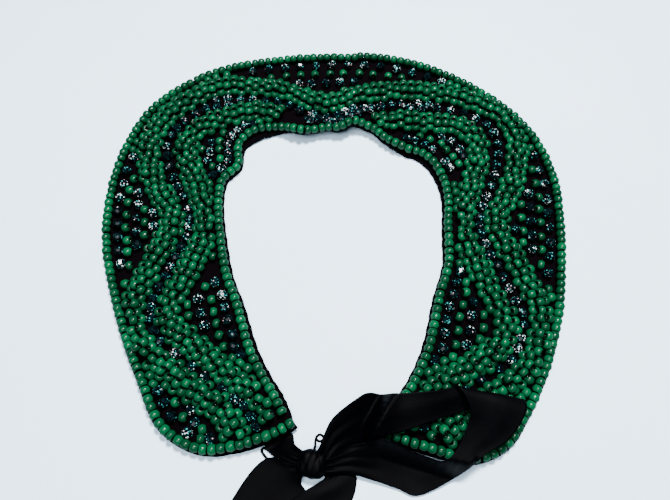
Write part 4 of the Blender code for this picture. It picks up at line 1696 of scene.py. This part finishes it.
@dataclass
class Threads:
    """Black sewing thread: what runs through the strings, and the loose ends."""

    form: CollarForm
    string_radius: float = 0.00032
    string_step: float = 0.0024
    loose_radius: float = 0.00052
    sides: int = 6

    def sweep(self, name: str, line: np.ndarray, radius: float) -> bpy.types.Object:
        """Draw a round thread along a line.

        Args:
            name: The thread's name.
            line: The points that it follows.
            radius: Half its thickness.

        Returns:
            The thread, its two ends closed.
        """
        clear_selection()
        bpy.ops.mesh.primitive_circle_add(vertices=self.sides, radius=radius, fill_type="NGON")
        item = bpy.context.object
        item.name = name
        ring = [vertex.co.copy() for vertex in item.data.vertices]
        turns = [Vector(way).to_track_quat("Z", "Y") for way in directions(line)]
        bpy.ops.object.mode_set(mode="EDIT")
        bpy.ops.mesh.select_all(action="SELECT")
        for here, there in zip(line[:-1], line[1:]):
            step = Vector(there) - Vector(here)
            bpy.ops.mesh.extrude_region_move(TRANSFORM_OT_translate={"value": step})
        bpy.ops.object.mode_set(mode="OBJECT")
        for index, (place, turn) in enumerate(zip(line, turns)):
            for k, spot in enumerate(ring):
                item.data.vertices[index * self.sides + k].co = Vector(place) + turn @ spot
        face_outwards(item)
        bpy.ops.object.shade_smooth()
        return item

    def near_knot(self, points: Sequence[Sequence[float]]) -> np.ndarray:
        """Turn points in millimetres from the knot's middle into a smooth line."""
        rows = np.array(points, float) * MILLIMETRE
        rows[:, :2] += self.form.knot_place()
        return smooth_rows(rows, 6)

    def build(self, rim: np.ndarray, neck: np.ndarray) -> None:
        """Make the threads.

        Args:
            rim: The rim string's middle line.
            neck: The neck string's middle line.
        """
        black = PolyesterThread().make()
        pieces = (
            ("rim_string_thread", spaced(rim, self.string_step), self.string_radius),
            ("neck_string_thread", spaced(neck, self.string_step), self.string_radius),
            ("loose_thread_by_tie", self.near_knot(THREAD_BY_TIE), self.loose_radius),
            ("loose_thread_at_knot", self.near_knot(THREAD_AT_KNOT), self.loose_radius),
        )
        for name, line, radius in pieces:
            dress(self.sweep(name, line, radius), black)


@dataclass
class Studio:
    """The floor, the lights and the camera."""

    camera_place: tuple[float, float, float] = (0.00045, -0.0993, 0.2203)
    elevation: float = 65.0
    focal_px: float = 574.0
    frame_px: float = 670.0
    sensor_mm: float = 36.0
    floor_size: float = 3.0

    def floor(self) -> None:
        """Make the pale floor."""
        clear_selection()
        bpy.ops.mesh.primitive_plane_add(size=self.floor_size)
        item = bpy.context.object
        item.name = "floor"
        item.data.materials.append(PaleFloor().make())

    def lamp(self, name: str, place: Sequence[float], size: float, power: float,
             colour: str) -> None:
        """Add a square lamp that faces the necklace.

        Args:
            name: The lamp's name.
            place: Where it hangs.
            size: Its side.
            power: Its power in watts.
            colour: Its hex colour.
        """
        data = bpy.data.lights.new(name, "AREA")
        data.shape = "SQUARE"
        data.size = size
        data.energy = power
        data.color = linear(colour)[:3]
        item = bpy.data.objects.new(name, data)
        item.location = place
        item.rotation_euler = (-Vector(place)).to_track_quat("-Z", "Y").to_euler()
        bpy.context.scene.collection.objects.link(item)

    def lights(self) -> None:
        """Light the necklace from above and behind, with soft light all round."""
        self.lamp("key_softbox", (0.09, 0.17, 0.66), 0.12, 20.0, "#FFFFFF")
        self.lamp("fill_softbox", (-0.16, -0.22, 0.70), 0.45, 6.5, "#F4F8FF")
        world = bpy.data.worlds.new("studio")
        world.use_nodes = True
        sky = world.node_tree.nodes["Background"]
        sky.inputs["Color"].default_value = linear("#DCE6F0")
        sky.inputs["Strength"].default_value = 0.2
        bpy.context.scene.world = world

    def camera(self) -> None:
        """Set the camera at the photograph's angle."""
        data = bpy.data.cameras.new("camera")
        data.sensor_width = self.sensor_mm
        data.lens = self.focal_px / self.frame_px * self.sensor_mm
        data.clip_start = 0.01
        item = bpy.data.objects.new("camera", data)
        item.location = self.camera_place
        item.rotation_euler = (math.radians(90.0 - self.elevation), 0.0, 0.0)
        bpy.context.scene.collection.objects.link(item)
        bpy.context.scene.camera = item

    def build(self) -> None:
        """Make the floor, lights and camera."""
        self.camera()
        self.floor()
        self.lights()


def main() -> None:
    """Dress the necklace, piece by piece."""
    logging.basicConfig(level=logging.INFO, format="%(name)s: %(message)s")
    Studio().build()
    form = CollarForm()
    form.seat_in_frame()
    FeltBacking(form).build()
    beadwork = Beadwork(form)
    beadwork.build()
    RibbonTie(form).build()
    Threads(form).build(beadwork.rim, beadwork.neck)


if __name__ == "__main__":
    main()
